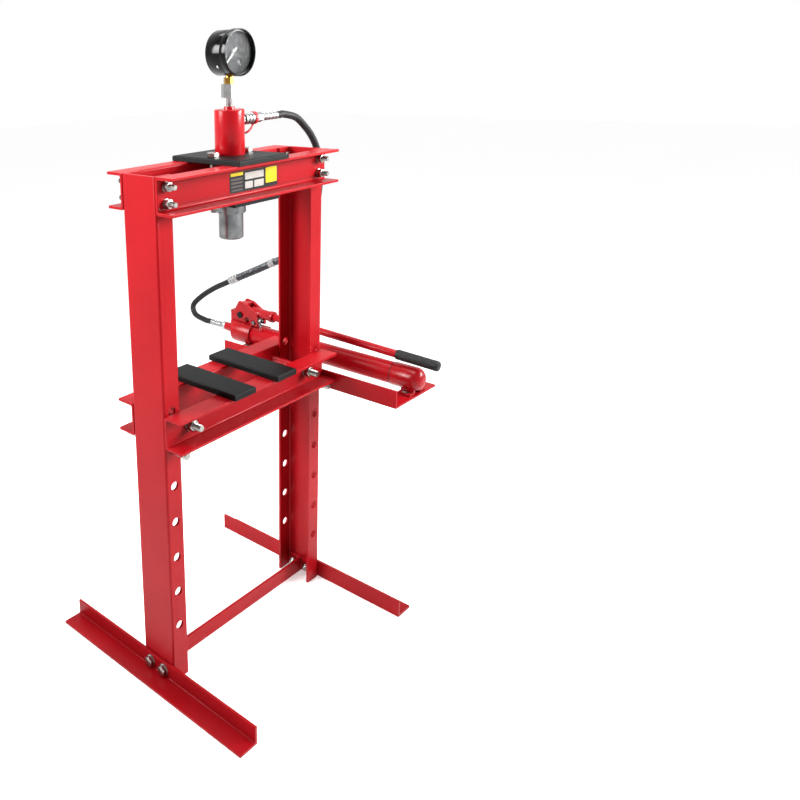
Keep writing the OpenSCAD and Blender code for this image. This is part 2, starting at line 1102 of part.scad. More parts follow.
module gauge_bezel() {
    lip_z = bezel_lap + lens_t;
    color("black")
        place()
            on_gauge_axis()
                translate([0, 0, gauge_depth - bezel_lap])
                    difference() {
                        cylinder(d = gauge_d, h = lip_z + bezel_lip_t + bezel_rim);
                        translate([0, 0, lip_z + bezel_lip_t])
                            cylinder(d = gauge_d - 2 * bezel_rim_t, h = bezel_rim + over);
                        translate([0, 0, -over])
                            cylinder(d = case_d + 2 * case_gap, h = lip_z + over);
                        cylinder(d = case_d - 2 * bezel_lip, h = lip_z + bezel_lip_t + over);
                    }
}

module gauge_needle() {
    color("white")
        place()
            on_gauge_axis()
                translate([0, 0, dial_z + dial_t + needle_lift])
                    rotate([0, 0, needle_angle])
                        linear_extrude(height = needle_t)
                            difference() {
                                union() {
                                    circle(d = needle_hub_d);
                                    polygon([[-needle_tail, -needle_base_w / 2], [0, -needle_base_w / 2],
                                        [needle_len, -needle_tip_w / 2], [needle_len, needle_tip_w / 2],
                                        [0, needle_base_w / 2], [-needle_tail, needle_base_w / 2]]);
                                }
                                circle(d = post_d + 2 * run_gap);
                            }
}

// Places its child on the coupler's axis at a distance from the barrel's own axis
module on_coupler(x) {
    translate([x, 0, port_z])
        along_x()
            children();
}

module coupler_nipple() {
    color("silver")
        place() {
            on_coupler(coupler_x - port_in)
                cylinder(d = port_d, h = port_in);
            on_coupler(coupler_x)
                hexagon(nipple_af, nipple_seat + nipple_h);
            on_coupler(sleeve_x)
                cylinder(d = nipple_shaft_d, h = sleeve_h + dust_ring_t + shaft_in_nut);
        }
}

module coupler_sleeve() {
    color("silver")
        place()
            on_coupler(sleeve_x)
                difference() {
                    ring(sleeve_d, nipple_shaft_d, sleeve_h);
                    for (share = sleeve_groove_shares)
                        translate([0, 0, share * sleeve_h])
                            ring(sleeve_d + over, sleeve_d - 2 * sleeve_groove, sleeve_groove_w);
                }
}

// Dust cap that hangs by a strap from a ring on the coupler
module dust_cap() {
    color("red")
        place() {
            on_coupler(dust_x)
                ring(dust_ring_d, nipple_shaft_d, dust_ring_t);
            cord(route_curve(strap_route, strap_steps), [1, 1, 1], strap_d / 2, strap_fn);
            translate(strap_end - [0, 0, cap_h])
                cylinder(d1 = cap_base_d, d2 = cap_top_d, h = cap_h);
        }
}

module hose_nut_top() {
    color("silver")
        place()
            on_coupler(hose_nut_x)
                difference() {
                    hexagon(hose_nut_af, hose_nut_h);
                    translate([0, 0, -over])
                        cylinder(d = nipple_shaft_d, h = shaft_in_nut + over);
                }
}

// Hose end with crimped bands
module crimped_end(d, len) {
    band = len / (2 * hose_end_bands + 1);
    difference() {
        cylinder(d = d, h = len);
        for (i = [0 : hose_end_bands - 1])
            translate([0, 0, (2 * i + 1) * band])
                ring(d + over, d - 2 * hose_end_crimp, band);
    }
}

module hose_end_top() {
    color("silver")
        place()
            on_coupler(hose_end_x)
                crimped_end(hose_end_d, hose_end_len);
}

hose_path = route_curve(hose_route, hose_steps);
hose_ref = [1, 1, 0];

module hose() {
    color("black")
        place()
            cord(hose_path, hose_ref, hose_d / 2, hose_fn);
}

// Rings round the hose's own path from one ring to another
function hose_rings(first, last, rad) =
    [for (i = [first : last], q = ring_at(hose_path[i], tangent(hose_path, i), hose_ref, rad, hose_fn)) q];

module hose_sleeve(first, last, wall) {
    inner_r = hose_d / 2 + guard_gap;
    sleeve_along(hose_rings(first, last, inner_r + wall), hose_rings(first, last, inner_r),
        last - first + 1, hose_fn);
}

module spring_guard() {
    color("dimgray")
        place()
            for (k = [[guard_first * hose_steps, guard_mid * hose_steps],
                    [guard_mid * hose_steps + clip_rings, guard_last * hose_steps]])
                hose_sleeve(k[0], k[1], guard_wall);
}

module guard_ferrules() {
    color("silver")
        place() {
            hose_sleeve(guard_first * hose_steps - ferrule_rings, guard_first * hose_steps, ferrule_wall);
            hose_sleeve(guard_mid * hose_steps, guard_mid * hose_steps + clip_rings, ferrule_wall);
            hose_sleeve(guard_last * hose_steps, guard_last * hose_steps + ferrule_rings, ferrule_wall);
        }
}

// Places its child on the pump's axis at a place along Y
module on_pump(y) {
    translate([pump_x, y, pump_z])
        along_y()
            children();
}

module hose_end_pump() {
    color("silver")
        place()
            on_pump(pump_end_y)
                crimped_end(pump_end_d, pump_end_len);
}

module hose_nut_pump() {
    color("silver")
        place()
            on_pump(pump_nut_y)
                hexagon(pump_nut_af, pump_nut_h);
}

// Holes of a pump foot's bolts, in the foot's flange or threaded in the shelf below it
module pump_foot_holes(x, y, d, low, h) {
    for (s = [-1, 1])
        translate([pump_x + s * x, y, low])
            cylinder(d = d, h = h);
}

module shelf_threads(x, y) {
    pump_foot_holes(x, y, pump_bolt_d + 2 * thread_gap, tray_low - over, tray_t + 2 * over);
}

module flange_holes(x, y) {
    pump_foot_holes(x, y, pump_bolt_hole_d, shelf_top - over, foot_flange_t + 2 * over);
}

module pump_tray() {
    color("firebrick")
        place()
            difference() {
                union() {
                    translate([side_x, tray_front_y, tray_low])
                        cube([tray_t, tray_rear_y - tray_front_y, tray_h]);
                    translate([side_x, tray_front_y, tray_low])
                        cube([tray_reach, shelf_w, tray_t]);
                    translate([side_x, tray_rear_y - shelf_w, tray_low])
                        cube([tray_rear_reach, shelf_w, tray_t]);
                }
                for (s = [-1, 1])
                    translate([side_x - over, s * tray_bolt_y, tray_bolt_z])
                        along_x()
                            cylinder(d = tray_bolt_hole_d, h = tray_t + 2 * over);
                shelf_threads(front_bolt_x, front_foot_y);
                shelf_threads(rear_bolt_x, rear_foot_y);
            }
}

// Repeats its child at the tray's bolts, with the local axis pointing in through the column's web
module at_tray_bolts(x) {
    for (s = [-1, 1])
        translate([x, s * tray_bolt_y, tray_bolt_z])
            mirror([1, 0, 0])
                along_x()
                    children();
}

module tray_bolts() {
    color("silver")
        place()
            at_tray_bolts(side_x + tray_t)
                hex_bolt(tray_bolt_d, tray_bolt_len, tray_bolt_af, tray_bolt_head);
}

module tray_nuts() {
    color("silver")
        place()
            at_tray_bolts(side_x - col_t)
                hex_nut(tray_bolt_d, tray_bolt_af, tray_nut_h);
}

// Cast foot under the pump's axis: a flange with a bolt each side and a tapered web up to the axis
module pump_foot(w, y) {
    translate([pump_x, y + foot_block_len / 2, pump_z - pump_rise])
        rotate([90, 0, 0])
            linear_extrude(height = foot_block_len) {
                translate([-w / 2, 0])
                    square([w, foot_flange_t]);
                translate([-foot_web_w / 2, 0])
                    square([foot_web_w, pump_rise]);
            }
}

// Arch cut through a pump foot between its bolts
module foot_arch(y) {
    translate([pump_x - foot_arch_w / 2, y - foot_block_len / 2 - over, shelf_top - over])
        cube([foot_arch_w, foot_block_len + 2 * over, foot_arch_h + over]);
}

// Revolved blank whose far end has a rounded edge
module round_ended(d, len, r) {
    rotate_extrude()
        union() {
            square([d / 2, len - r]);
            square([d / 2 - r, len]);
            translate([d / 2 - r, len - r])
                intersection() {
                    circle(r = r);
                    square([r, r]);
                }
        }
}

module pump_lug_2d() {
    translate([pivot_y, pivot_rise])
        circle(r = lug_r);
    translate([pivot_y - lug_r, 0])
        square([2 * lug_r, pivot_rise]);
    translate([pivot_y - lug_r, 0])
        square([lug_len, tower_top]);
    translate([pivot_y, 0])
        square([lug_back, pivot_rise + lug_back_rise]);
}

module pump_head() {
    color("firebrick")
        place()
            difference() {
                union() {
                    on_pump(head_y)
                        round_ended(head_d, head_len, head_round);
                    on_pump(head_y - spigot_len)
                        cylinder(d = tank_bore_d, h = spigot_len);
                    on_pump(head_y + head_len)
                        cylinder(d1 = outlet_base_d, d2 = outlet_tip_d, h = outlet_len);
                    translate([pump_x - block_w / 2, head_y - block_front, pump_z])
                        cube([block_w, tower_y - head_y + block_front, block_top]);
                    translate([pump_x - tower_w / 2, tower_y, pump_z])
                        cube([tower_w, tower_len, tower_top]);
                    translate([pump_x - lug_t / 2, 0, pump_z])
                        extrude_x(lug_t)
                            pump_lug_2d();
                    translate([pump_x, valve_y, pump_z + valve_z])
                        along_x()
                            cylinder(d = valve_boss_d, h = head_d / 2 + valve_boss_len);
                    pump_foot(rear_foot_w, rear_foot_y);
                }
                foot_arch(rear_foot_y);
                flange_holes(rear_bolt_x, rear_foot_y);
                translate([pump_x, plunger_y, pump_z + plunger_bore_low])
                    cylinder(d = plunger_d + 2 * run_gap, h = block_top - plunger_bore_low + over);
                translate([pump_x - lug_t, pivot_y, pump_z + pivot_rise])
                    along_x()
                        cylinder(d = pivot_pin_d, h = 2 * lug_t);
                translate([pump_x + head_d / 2 - valve_in, valve_y, pump_z + valve_z])
                    along_x()
                        cylinder(d = valve_d + 2 * run_gap, h = valve_in + valve_boss_len + over);
                on_pump(outlet_y - outlet_bore_len)
                    cylinder(d = outlet_bore_d, h = outlet_bore_len + over);
            }
}

module pump_tank() {
    color("firebrick")
        place()
            difference() {
                on_pump(tank_end_y)
                    ring(tank_d, tank_bore_d, tank_len);
                translate([pump_x - block_w / 2, head_y - block_front, pump_z])
                    cube([block_w, block_front + over, tank_d / 2 + over]);
                pump_foot(rear_foot_w, rear_foot_y);
            }
}

module pump_cap() {
    color("firebrick")
        place()
            difference() {
                union() {
                    translate([pump_x, tank_end_y, pump_z])
                        rotate([90, 0, 0])
                            round_ended(cap_d, cap_end_len, cap_round);
                    on_pump(tank_end_y)
                        cylinder(d = tank_bore_d, h = cap_spigot);
                    pump_foot(front_foot_w, front_foot_y);
                }
                foot_arch(front_foot_y);
                flange_holes(front_bolt_x, front_foot_y);
            }
}

module pump_bolts() {
    seat = shelf_top + foot_flange_t;
    color("silver")
        place()
            for (p = [[front_bolt_x, front_foot_y], [rear_bolt_x, rear_foot_y]], s = [-1, 1])
                translate([pump_x + s * p[0], p[1], seat])
                    mirror([0, 0, 1])
                        hex_bolt(pump_bolt_d, pump_bolt_len, pump_bolt_af, pump_bolt_head);
}

module pivot_pin() {
    reach = yoke_out + side_gap;
    color("silver")
        place()
            translate([pump_x, pivot_y, pump_z + pivot_rise])
                along_x() {
                    translate([0, 0, -reach])
                        cylinder(d = pivot_pin_d, h = 2 * reach);
                    for (z = [-reach - pivot_head_t, reach])
                        translate([0, 0, z])
                            cylinder(d = pivot_head_d, h = pivot_head_t);
                }
}

module plunger_gland() {
    color("dimgray")
        place()
            translate([pump_x, plunger_y, pump_z + block_top])
                difference() {
                    hexagon(gland_af, gland_h);
                    translate([0, 0, -over])
                        cylinder(d = plunger_d + 2 * run_gap, h = gland_h + 2 * over);
                }
}

module pump_plunger() {
    pin_reach = yoke_out + plunger_pin_over;
    color("lightgray")
        place()
            translate([pump_x, plunger_y, pump_z]) {
                translate([0, 0, plunger_low])
                    cylinder(d = plunger_d, h = eye_rise - plunger_low);
                translate([0, 0, eye_rise])
                    along_x()
                        translate([0, 0, -lug_t / 2])
                            cylinder(r = eye_r, h = lug_t);
                translate([0, 0, eye_rise])
                    along_x()
                        translate([0, 0, -pin_reach])
                            cylinder(d = plunger_pin_d, h = 2 * pin_reach);
            }
}

// Side plate of the lever's yoke, drawn in Y and Z from the pivot
module yoke_2d() {
    slot_d = plunger_pin_d + 2 * pin_slot_gap;
    difference() {
        polygon([[yoke_back, -yoke_low], [yoke_back, yoke_mid], [yoke_top_y, yoke_top],
            [yoke_crown_y, yoke_crown], [-ear_front, ear_top], [-ear_front, -ear_low],
            [-ear_back, -ear_low], [-arch_front, arch_z], [-arch_back, arch_z], [-yoke_low, -yoke_low]]);
        circle(d = pivot_pin_d + 2 * run_gap);
        translate([0, pin_slot_lift])
            rotate([0, 0, 180 + pin_angle])
                union() {
                    translate([pin_slot_near, -slot_d / 2])
                        square([pin_slot_far - pin_slot_near, slot_d]);
                    for (r = [pin_slot_near, pin_slot_far])
                        translate([r, 0])
                            circle(d = slot_d);
                }
    }
}

// Places its child on the handle's axis at a place along Y
module on_handle(y) {
    translate([pump_x, pivot_y, pump_z + pivot_rise])
        rotate([handle_tilt, 0, 0])
            translate([0, y - pivot_y, handle_lift])
                along_y()
                    children();
}

module pump_lever() {
    color("firebrick")
        place()
            difference() {
                union() {
                    translate([pump_x, pivot_y, pump_z + pivot_rise]) {
                        for (x = [-yoke_out, yoke_in])
                            translate([x, 0, 0])
                                extrude_x(yoke_t)
                                    yoke_2d();
                        translate([-yoke_out, yoke_crown_y, yoke_crown - bridge_h])
                            cube([2 * yoke_out, yoke_top_y - yoke_crown_y, bridge_h]);
                    }
                    on_handle(socket_front_y)
                        cylinder(d = socket_d, h = socket_back_y - socket_front_y);
                    on_handle(socket_front_y)
                        cylinder(d = socket_collar_d, h = socket_collar_len);
                }
                on_handle(socket_front_y - over)
                    cylinder(d = handle_d, h = handle_back_y - socket_front_y + over);
            }
}

module handle_tube() {
    color("firebrick")
        place()
            on_handle(grip_front_y + grip_wall)
                cylinder(d = handle_d, h = handle_back_y - grip_front_y - grip_wall);
}

module handle_grip() {
    grip_len = grip_back_y - grip_front_y;
    color("dimgray")
        place()
            difference() {
                on_handle(grip_back_y)
                    mirror([0, 0, 1])
                        round_ended(grip_d, grip_len, grip_round);
                on_handle(grip_front_y + grip_wall)
                    cylinder(d = handle_d, h = grip_len);
            }
}

module release_valve() {
    knob_x = head_d / 2 + valve_boss_len + valve_gap;
    color("silver")
        place()
            translate([pump_x, valve_y, pump_z + valve_z]) {
                along_x()
                    translate([0, 0, knob_x])
                        cylinder(d = valve_knob_d, h = valve_knob_t);
                along_x()
                    translate([0, 0, head_d / 2 - valve_in + valve_gap])
                        cylinder(d = valve_d, h = knob_x - head_d / 2 + valve_in);
                translate([knob_x + valve_knob_t / 2, 0, -valve_bar_len / 2])
                    cylinder(d = valve_bar_d, h = valve_bar_len);
            }
}

column_left();
column_right();
beam_front();
beam_rear();
beam_bolts();
beam_washers();
beam_nuts();
bed_front();
bed_rear();
bed_pins();
tie_rods();
tie_washers();
tie_nuts();
press_plate_left();
press_plate_right();
foot_left();
foot_right();
lower_brace();
foot_bolts();
foot_nuts();
top_plate();
clamp_plate();
clamp_bolts();
clamp_nuts();
barrel();
lock_ring();
ram();
ram_seal();
return_spring();
gauge_coupling();
gauge_stem();
gauge_case();
gauge_dial();
gauge_lens();
gauge_bezel();
gauge_needle();
coupler_nipple();
coupler_sleeve();
dust_cap();
hose_nut_top();
hose_end_top();
hose();
spring_guard();
guard_ferrules();
hose_end_pump();
hose_nut_pump();
pump_tray();
tray_bolts();
tray_nuts();
pump_head();
pump_tank();
pump_cap();
pump_bolts();
pivot_pin();
plunger_gland();
pump_plunger();
pump_lever();
handle_tube();
handle_grip();
release_valve();
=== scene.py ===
"""Looks of a hydraulic H-frame press over its fixed frame: paint, steel, hose, gauge face, fasteners and studio."""
import logging
import math
from collections.abc import Callable, Sequence
from dataclasses import dataclass, field, replace
from enum import Enum

import bpy
import numpy as np
from mathutils import Matrix, Vector


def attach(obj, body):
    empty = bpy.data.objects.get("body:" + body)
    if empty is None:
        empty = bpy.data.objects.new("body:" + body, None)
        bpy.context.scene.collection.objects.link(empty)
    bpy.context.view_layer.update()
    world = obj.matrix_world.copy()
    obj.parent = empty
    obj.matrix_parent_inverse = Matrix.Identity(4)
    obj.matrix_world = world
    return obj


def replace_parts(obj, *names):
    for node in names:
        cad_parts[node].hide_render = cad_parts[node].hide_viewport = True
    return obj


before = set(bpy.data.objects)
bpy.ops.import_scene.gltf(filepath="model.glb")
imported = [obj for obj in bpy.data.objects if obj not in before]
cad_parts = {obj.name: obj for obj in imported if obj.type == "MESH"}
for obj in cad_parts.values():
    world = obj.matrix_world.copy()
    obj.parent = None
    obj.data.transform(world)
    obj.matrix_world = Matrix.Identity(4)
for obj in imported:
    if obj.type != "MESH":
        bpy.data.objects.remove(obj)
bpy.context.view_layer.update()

LOG = logging.getLogger("press")
MM = 0.001
# The row's origin in the press's own drawing, where X = Y = 0 is the middle of the frame
ORIGIN = np.array([67.0, 34.0, 0.0])
Point = tuple[float, float, float]


class Body(str, Enum):
    """The rigid bodies that the new pieces ride on."""

    PRESS = "press"
    LEVER = "lever"
    NEEDLE = "needle"


class Axis(Enum):
    """A row axis as its index."""

    X = 0
    Y = 1
    Z = 2


class Tips(Enum):
    """The way that bolts point along their axis: a sign beyond the middle of the frame and one short of it."""

    ALONG = (1, 1)
    AGAINST = (-1, -1)
    OUTWARDS = (1, -1)
    INWARDS = (-1, 1)


def row(points: Sequence) -> np.ndarray:
    """Turn drawing millimetres, of one point or an array of them, into row metres."""
    return (np.asarray(points, float) - ORIGIN) * MM


def linear(code: str) -> tuple[float, float, float, float]:
    """Turn an sRGB hex code into a linear colour.

    Args:
        code: six hex digits.

    Returns:
        Red, green, blue and an alpha of one.
    """
    values = [int(code[i:i + 2], 16) / 255 for i in (0, 2, 4)]
    red, green, blue = (v / 12.92 if v <= 0.04045 else ((v + 0.055) / 1.055) ** 2.4 for v in values)
    return red, green, blue, 1.0


def add_node(tree: bpy.types.NodeTree, kind: str, inputs: dict | None = None, **settings: object) -> bpy.types.Node:
    """Add a shader node with its settings, socket values and links.

    Args:
        tree: the material's node tree.
        kind: the node's type.
        inputs: socket name or index to a value, or to an output socket that feeds it.
        settings: the node's own properties.

    Returns:
        The new node.
    """
    node = tree.nodes.new(kind)
    for name, value in settings.items():
        setattr(node, name, value)
    for socket, value in (inputs or {}).items():
        if isinstance(value, bpy.types.NodeSocket):
            tree.links.new(value, node.inputs[socket])
        else:
            node.inputs[socket].default_value = value
    return node


# Noise stays mostly inside these bands, which are stretched over the whole range
PATCH_BAND = {"From Min": 0.35, "From Max": 0.65}
GRAIN_BAND = {"From Min": 0.3, "From Max": 0.7}


@dataclass(frozen=True)
class Finish:
    """A real surface: two tones that drift into each other, a fine grain, and a gloss that varies.

    Sizes are in millimetres. The grain may be stretched along an axis, as brushing and turning do. Speck is how far
    the grain darkens the tone, and glow is light that the surface gives off itself.
    """

    name: str
    tone: str
    tone_far: str
    patch_mm: float
    grain_mm: float
    bump_mm: float
    rough_low: float
    rough_high: float
    metallic: float = 0.0
    stretch: Point = (1.0, 1.0, 1.0)
    alpha: float = 1.0
    specular: float = 0.5
    speck: float = 0.0
    glow: float = 0.0

    def material(self) -> bpy.types.Material:
        """Build the finish once and hand it back on later calls.

        Returns:
            The material, named for the finish.
        """
        made = bpy.data.materials.get(self.name)
        if made is not None and made.get("press_finish"):
            return made
        made = bpy.data.materials.new(self.name)
        made["press_finish"] = True
        made.use_nodes = True
        tree = made.node_tree
        tree.nodes.clear()
        place = add_node(tree, "ShaderNodeTexCoord").outputs["Object"]
        patch = add_node(tree, "ShaderNodeTexNoise", {
            "Vector": place, "Scale": 1 / (self.patch_mm * MM), "Detail": 4.0, "Roughness": 0.55})
        drawn = add_node(tree, "ShaderNodeMapping", {"Vector": place, "Scale": self.stretch})
        grain = add_node(tree, "ShaderNodeTexNoise", {
            "Vector": drawn.outputs["Vector"], "Scale": 1 / (self.grain_mm * MM), "Detail": 3.0}).outputs["Fac"]
        drift = add_node(tree, "ShaderNodeMapRange", {"Value": patch.outputs["Fac"], **PATCH_BAND})
        colour = add_node(tree, "ShaderNodeMix", {
            "Factor": drift.outputs["Result"], "A": linear(self.tone), "B": linear(self.tone_far)},
            data_type="RGBA").outputs["Result"]
        if self.speck:
            fine = add_node(tree, "ShaderNodeMapRange", {
                "Value": grain, **GRAIN_BAND, "To Min": 1 - self.speck, "To Max": 1.0})
            colour = add_node(tree, "ShaderNodeMix", {"Factor": 1.0, "A": colour, "B": fine.outputs["Result"]},
                              data_type="RGBA", blend_type="MULTIPLY").outputs["Result"]
        gloss = add_node(tree, "ShaderNodeMapRange", {
            "Value": grain, **GRAIN_BAND, "To Min": self.rough_low, "To Max": self.rough_high})
        bump = add_node(tree, "ShaderNodeBump", {"Height": grain, "Strength": 1.0, "Distance": self.bump_mm * MM})
        shader = add_node(tree, "ShaderNodeBsdfPrincipled", {
            "Base Color": colour, "Roughness": gloss.outputs["Result"], "Normal": bump.outputs["Normal"],
            "Metallic": self.metallic, "Specular IOR Level": self.specular, "Alpha": self.alpha,
            "Emission Color": linear(self.tone), "Emission Strength": self.glow})
        add_node(tree, "ShaderNodeOutputMaterial", {"Surface": shader.outputs["BSDF"]})
        return made


# Each finish: its name, two tones, the size of patches, grain and bump, and its lowest and highest roughness.

# Satin red powder coat on rolled steel: an even red with a faint orange peel
RED_PAINT = Finish("red_powder_coat", "980b14", "8d0a12", 180, 1.6, 0.05, 0.26, 0.36, specular=0.12)
# Red paint on the pump's sand castings: the same red over a coarser skin
RED_CASTING = Finish("red_painted_casting", "960b13", "840911", 60, 2.4, 0.12, 0.2, 0.32, specular=0.22)
# Gloss red enamel on the turned barrel: the same red with sharper lights
RED_GLOSS = Finish("red_gloss_enamel", "a00c15", "920b13", 120, 1.6, 0.03, 0.18, 0.26, specular=0.24)
# Black oxide plate under satin lacquer: nearly black, with a soft sheen
BLACK_PLATE = Finish("black_satin_lacquer", "0d0e0f", "090a0a", 70, 0.9, 0.05, 0.42, 0.56, specular=0.12)
# Bright zinc plate on fasteners: pale grey metal, slightly cloudy
ZINC = Finish("bright_zinc_plate", "b4b3af", "94938d", 9, 0.8, 0.03, 0.2, 0.36, metallic=1.0, speck=0.2)
# Ground steel: fine rings left by the wheel, drawn coarser than real so that they show
GROUND_STEEL = Finish("ground_steel", "8c8d8e", "686a6c", 30, 6.0, 0.02, 0.28, 0.38, metallic=1.0,
                      stretch=(1.0, 1.0, 14.0), speck=0.2)
# Nickel-chrome plate on the hose fittings: a bright satin metal with small cloudy patches
CHROME = Finish("nickel_chrome_plate", "a4a5a4", "919291", 12, 1.0, 0.003, 0.36, 0.44, metallic=1.0, speck=0.08)
# Turned brass: warm yellow with fine lines round it
BRASS = Finish("turned_brass", "c79a4a", "a97b2f", 8, 2.0, 0.02, 0.2, 0.34, metallic=1.0,
               stretch=(1.0, 1.0, 9.0), speck=0.15)
# Black gloss lacquer on the gauge's pressed case: deep black with clear lights
GAUGE_BLACK = Finish("black_gloss_lacquer", "030304", "020202", 40, 1.2, 0.02, 0.1, 0.16, specular=0.18)
# Matt print on the dial: an even charcoal
DIAL = Finish("matt_dial_print", "2a2c2e", "222426", 25, 0.5, 0.01, 0.5, 0.62, specular=0.08)
# White enamel on the pointer and the scale: a clean, soft white
WHITE = Finish("white_enamel", "c9c9c6", "bdbdb9", 12, 0.5, 0.01, 0.35, 0.5)
# Clear dome of the gauge: a thin veil that catches the light
LENS = Finish("clear_gauge_glass", "f4f7f8", "eef2f4", 60, 4.0, 0.002, 0.03, 0.05, alpha=0.03, specular=0.25)
# Moulded red rubber of the dust cap: a duller red with soft lights
RED_RUBBER = Finish("moulded_red_rubber", "b5121b", "9c0d16", 14, 0.7, 0.05, 0.42, 0.58)
# Synthetic hose cover with a cloth-wrapped skin: dull black with a fine texture
HOSE_COVER = Finish("hose_rubber_cover", "0f1011", "0a0b0c", 20, 0.9, 0.12, 0.45, 0.65, specular=0.25)
# Oiled spring wire: grey steel with a soft shine
SPRING_WIRE = Finish("oiled_spring_wire", "8a8d90", "6f7275", 10, 0.8, 0.03, 0.22, 0.36, metallic=1.0)
# Lightly blued wire of the hose guard: mid-grey coils that each catch a thin light
GUARD_WIRE = Finish("blued_guard_wire", "7b7e81", "606366", 10, 0.8, 0.03, 0.24, 0.38, metallic=1.0)
# Moulded grip rubber: dull black with a soft sheen
GRIP_RUBBER = Finish("moulded_grip_rubber", "101112", "0c0d0d", 25, 0.8, 0.08, 0.42, 0.6, specular=0.25)
# Black nitrile seal: a dull black ring
SEAL = Finish("black_nitrile", "141415", "0e0e0f", 10, 0.6, 0.03, 0.4, 0.55)
# Painted shade at the tank's joint: a dull dark line that stands for the shadow in the seam
JOINT_SHADE_PAINT = Finish("painted_joint_shade", "3c060a", "2e0508", 10, 1.0, 0.05, 0.45, 0.6, specular=0.2)
# Weld metal under paint: a rippled bead in a slightly deeper red
WELD_PAINT = Finish("painted_weld", "900a13", "7c0810", 6, 1.5, 0.1, 0.28, 0.42, specular=0.3)
# Seamless white light table, faintly lit from below: no edge or corner to see
FLOOR = Finish("light_table_acrylic", "fdfdfd", "fbfbfb", 900, 5.0, 0.01, 0.7, 0.8, specular=0.1, glow=0.4)


def film(colour: str, tone: str, tone_far: str) -> Finish:
    """Give one colour of the beam's printed film: smooth, flat and slightly dull."""
    return Finish(f"{colour}_printed_film", tone, tone_far, 20, 0.6, 0.01, 0.4, 0.52, specular=0.15)


FILM_DARK = film("dark", "171618", "121113")
FILM_GREY = film("grey", "4c4644", "423d3b")
FILM_PALE = film("pale", "a29f9a", "95928d")
FILM_YELLOW = film("yellow", "c6ac10", "b89f0d")


@dataclass
class Shell:
    """Points with quads and triangles, which can be joined to other shells before it becomes a mesh."""

    points: np.ndarray
    quads: np.ndarray = field(default_factory=lambda: np.zeros((0, 4), int))
    tris: np.ndarray = field(default_factory=lambda: np.zeros((0, 3), int))

    def moved(self, matrix: np.ndarray) -> "Shell":
        """Return the shell carried by a 4 by 4 matrix."""
        return Shell(self.points @ matrix[:3, :3].T + matrix[:3, 3], self.quads, self.tris)

    def to_object(self, name: str, body: Body, finish: Finish, slot: str, sharp_deg: float = 35.0) -> bpy.types.Object:
        """Make the shell a piece of the press.

        Args:
            name: the piece's name.
            body: the body that it rides on.
            finish: its surface.
            slot: the material slot that it belongs to; not used.
            sharp_deg: edges with a greater angle stay crisp.

        Returns:
            The new object, at the origin, with its place in its mesh.
        """
        mesh = bpy.data.meshes.new(name)
        mesh.from_pydata(self.points.tolist(), [], self.quads.tolist() + self.tris.tolist())
        mesh.shade_smooth()
        mesh.validate()
        mesh.set_sharp_from_angle(angle=math.radians(sharp_deg))
        mesh.materials.append(finish.material())
        piece = bpy.data.objects.new(name, mesh)
        bpy.context.scene.collection.objects.link(piece)
        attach(piece, body.value)
        LOG.info("%s: %d faces", name, len(mesh.polygons))
        return piece


def join(shells: Sequence[Shell]) -> Shell:
    """Put several shells into one."""
    offsets = np.cumsum([0] + [len(s.points) for s in shells[:-1]])
    return Shell(np.concatenate([s.points for s in shells]),
                 np.concatenate([s.quads + o for s, o in zip(shells, offsets)]),
                 np.concatenate([s.tris + o for s, o in zip(shells, offsets)]))


def grid_shell(points: np.ndarray, loop: bool = False) -> Shell:
    """Skin a grid of rings: the first index runs along the shape, the second round it, anticlockwise about its way.

    Args:
        points: an array of rows, points round a row, and three coordinates.
        loop: join the last row to the first, as in a ring; otherwise a fan to its middle closes each end.

    Returns:
        A closed shell whose faces point outwards.
    """
    rows, sides, _ = points.shape
    index = np.arange(rows * sides).reshape(rows, sides)
    if loop:
        index = np.concatenate([index, index[:1]])
    here, there = index[:-1], index[1:]
    quads = np.stack([here, np.roll(here, -1, 1), np.roll(there, -1, 1), there], -1).reshape(-1, 4)
    flat = points.reshape(-1, 3)
    if loop:
        return Shell(flat, quads)
    low, high = index[0], index[-1]
    middles = np.stack([points[0].mean(0), points[-1].mean(0)])
    fan_low = np.stack([np.full(sides, len(flat)), np.roll(low, -1), low], -1)
    fan_high = np.stack([np.full(sides, len(flat) + 1), high, np.roll(high, -1)], -1)
    return Shell(np.concatenate([flat, middles]), quads, np.concatenate([fan_low, fan_high]))


def round_angles(count: int) -> np.ndarray:
    """Give evenly spaced angles round a full turn, in radians."""
    return np.linspace(0, 2 * np.pi, count, endpoint=False)


def round_grid(radius: np.ndarray, angle: np.ndarray, height: np.ndarray) -> np.ndarray:
    """Give a grid about Z with a row for each height and a column for each angle: r cos a, r sin a, height."""
    x = radius * np.cos(angle)
    return np.stack([x, radius * np.sin(angle), np.broadcast_to(height[:, None], x.shape)], -1)


def turned(profile: Sequence, sides: int, loop: bool = False) -> Shell:
    """Turn pairs of radius and height, in millimetres from the bottom up, about Z; a loop closes round a bore."""
    radius, height = np.asarray(profile, float).T * MM
    return grid_shell(round_grid(radius[:, None], round_angles(sides), height), loop)


def placed(origin: Sequence, along: np.ndarray, side: np.ndarray) -> np.ndarray:
    """Give the matrix that carries a shape's Z onto one direction and its X onto another.

    Args:
        origin: where the shape's own origin goes, in metres.
        along: the direction of its Z, of length one.
        side: the direction of its X, of length one and square to along.

    Returns:
        A 4 by 4 matrix without mirroring.
    """
    matrix = np.eye(4)
    matrix[:3, :3] = np.stack([side, np.cross(along, side), along], 1)
    matrix[:3, 3] = origin
    return matrix


def set_on(origin: Sequence, way: Axis, sign: int = 1) -> np.ndarray:
    """Give the matrix that carries a shape's Z onto a row axis, or against it for a sign of minus one."""
    units = np.eye(3)
    return placed(origin, sign * units[way.value], units[2 if way is Axis.X else 0])


def lifted(height: float) -> np.ndarray:
    """Give the matrix that raises a shape along Z by a height in millimetres."""
    return set_on((0, 0, height * MM), Axis.Z)


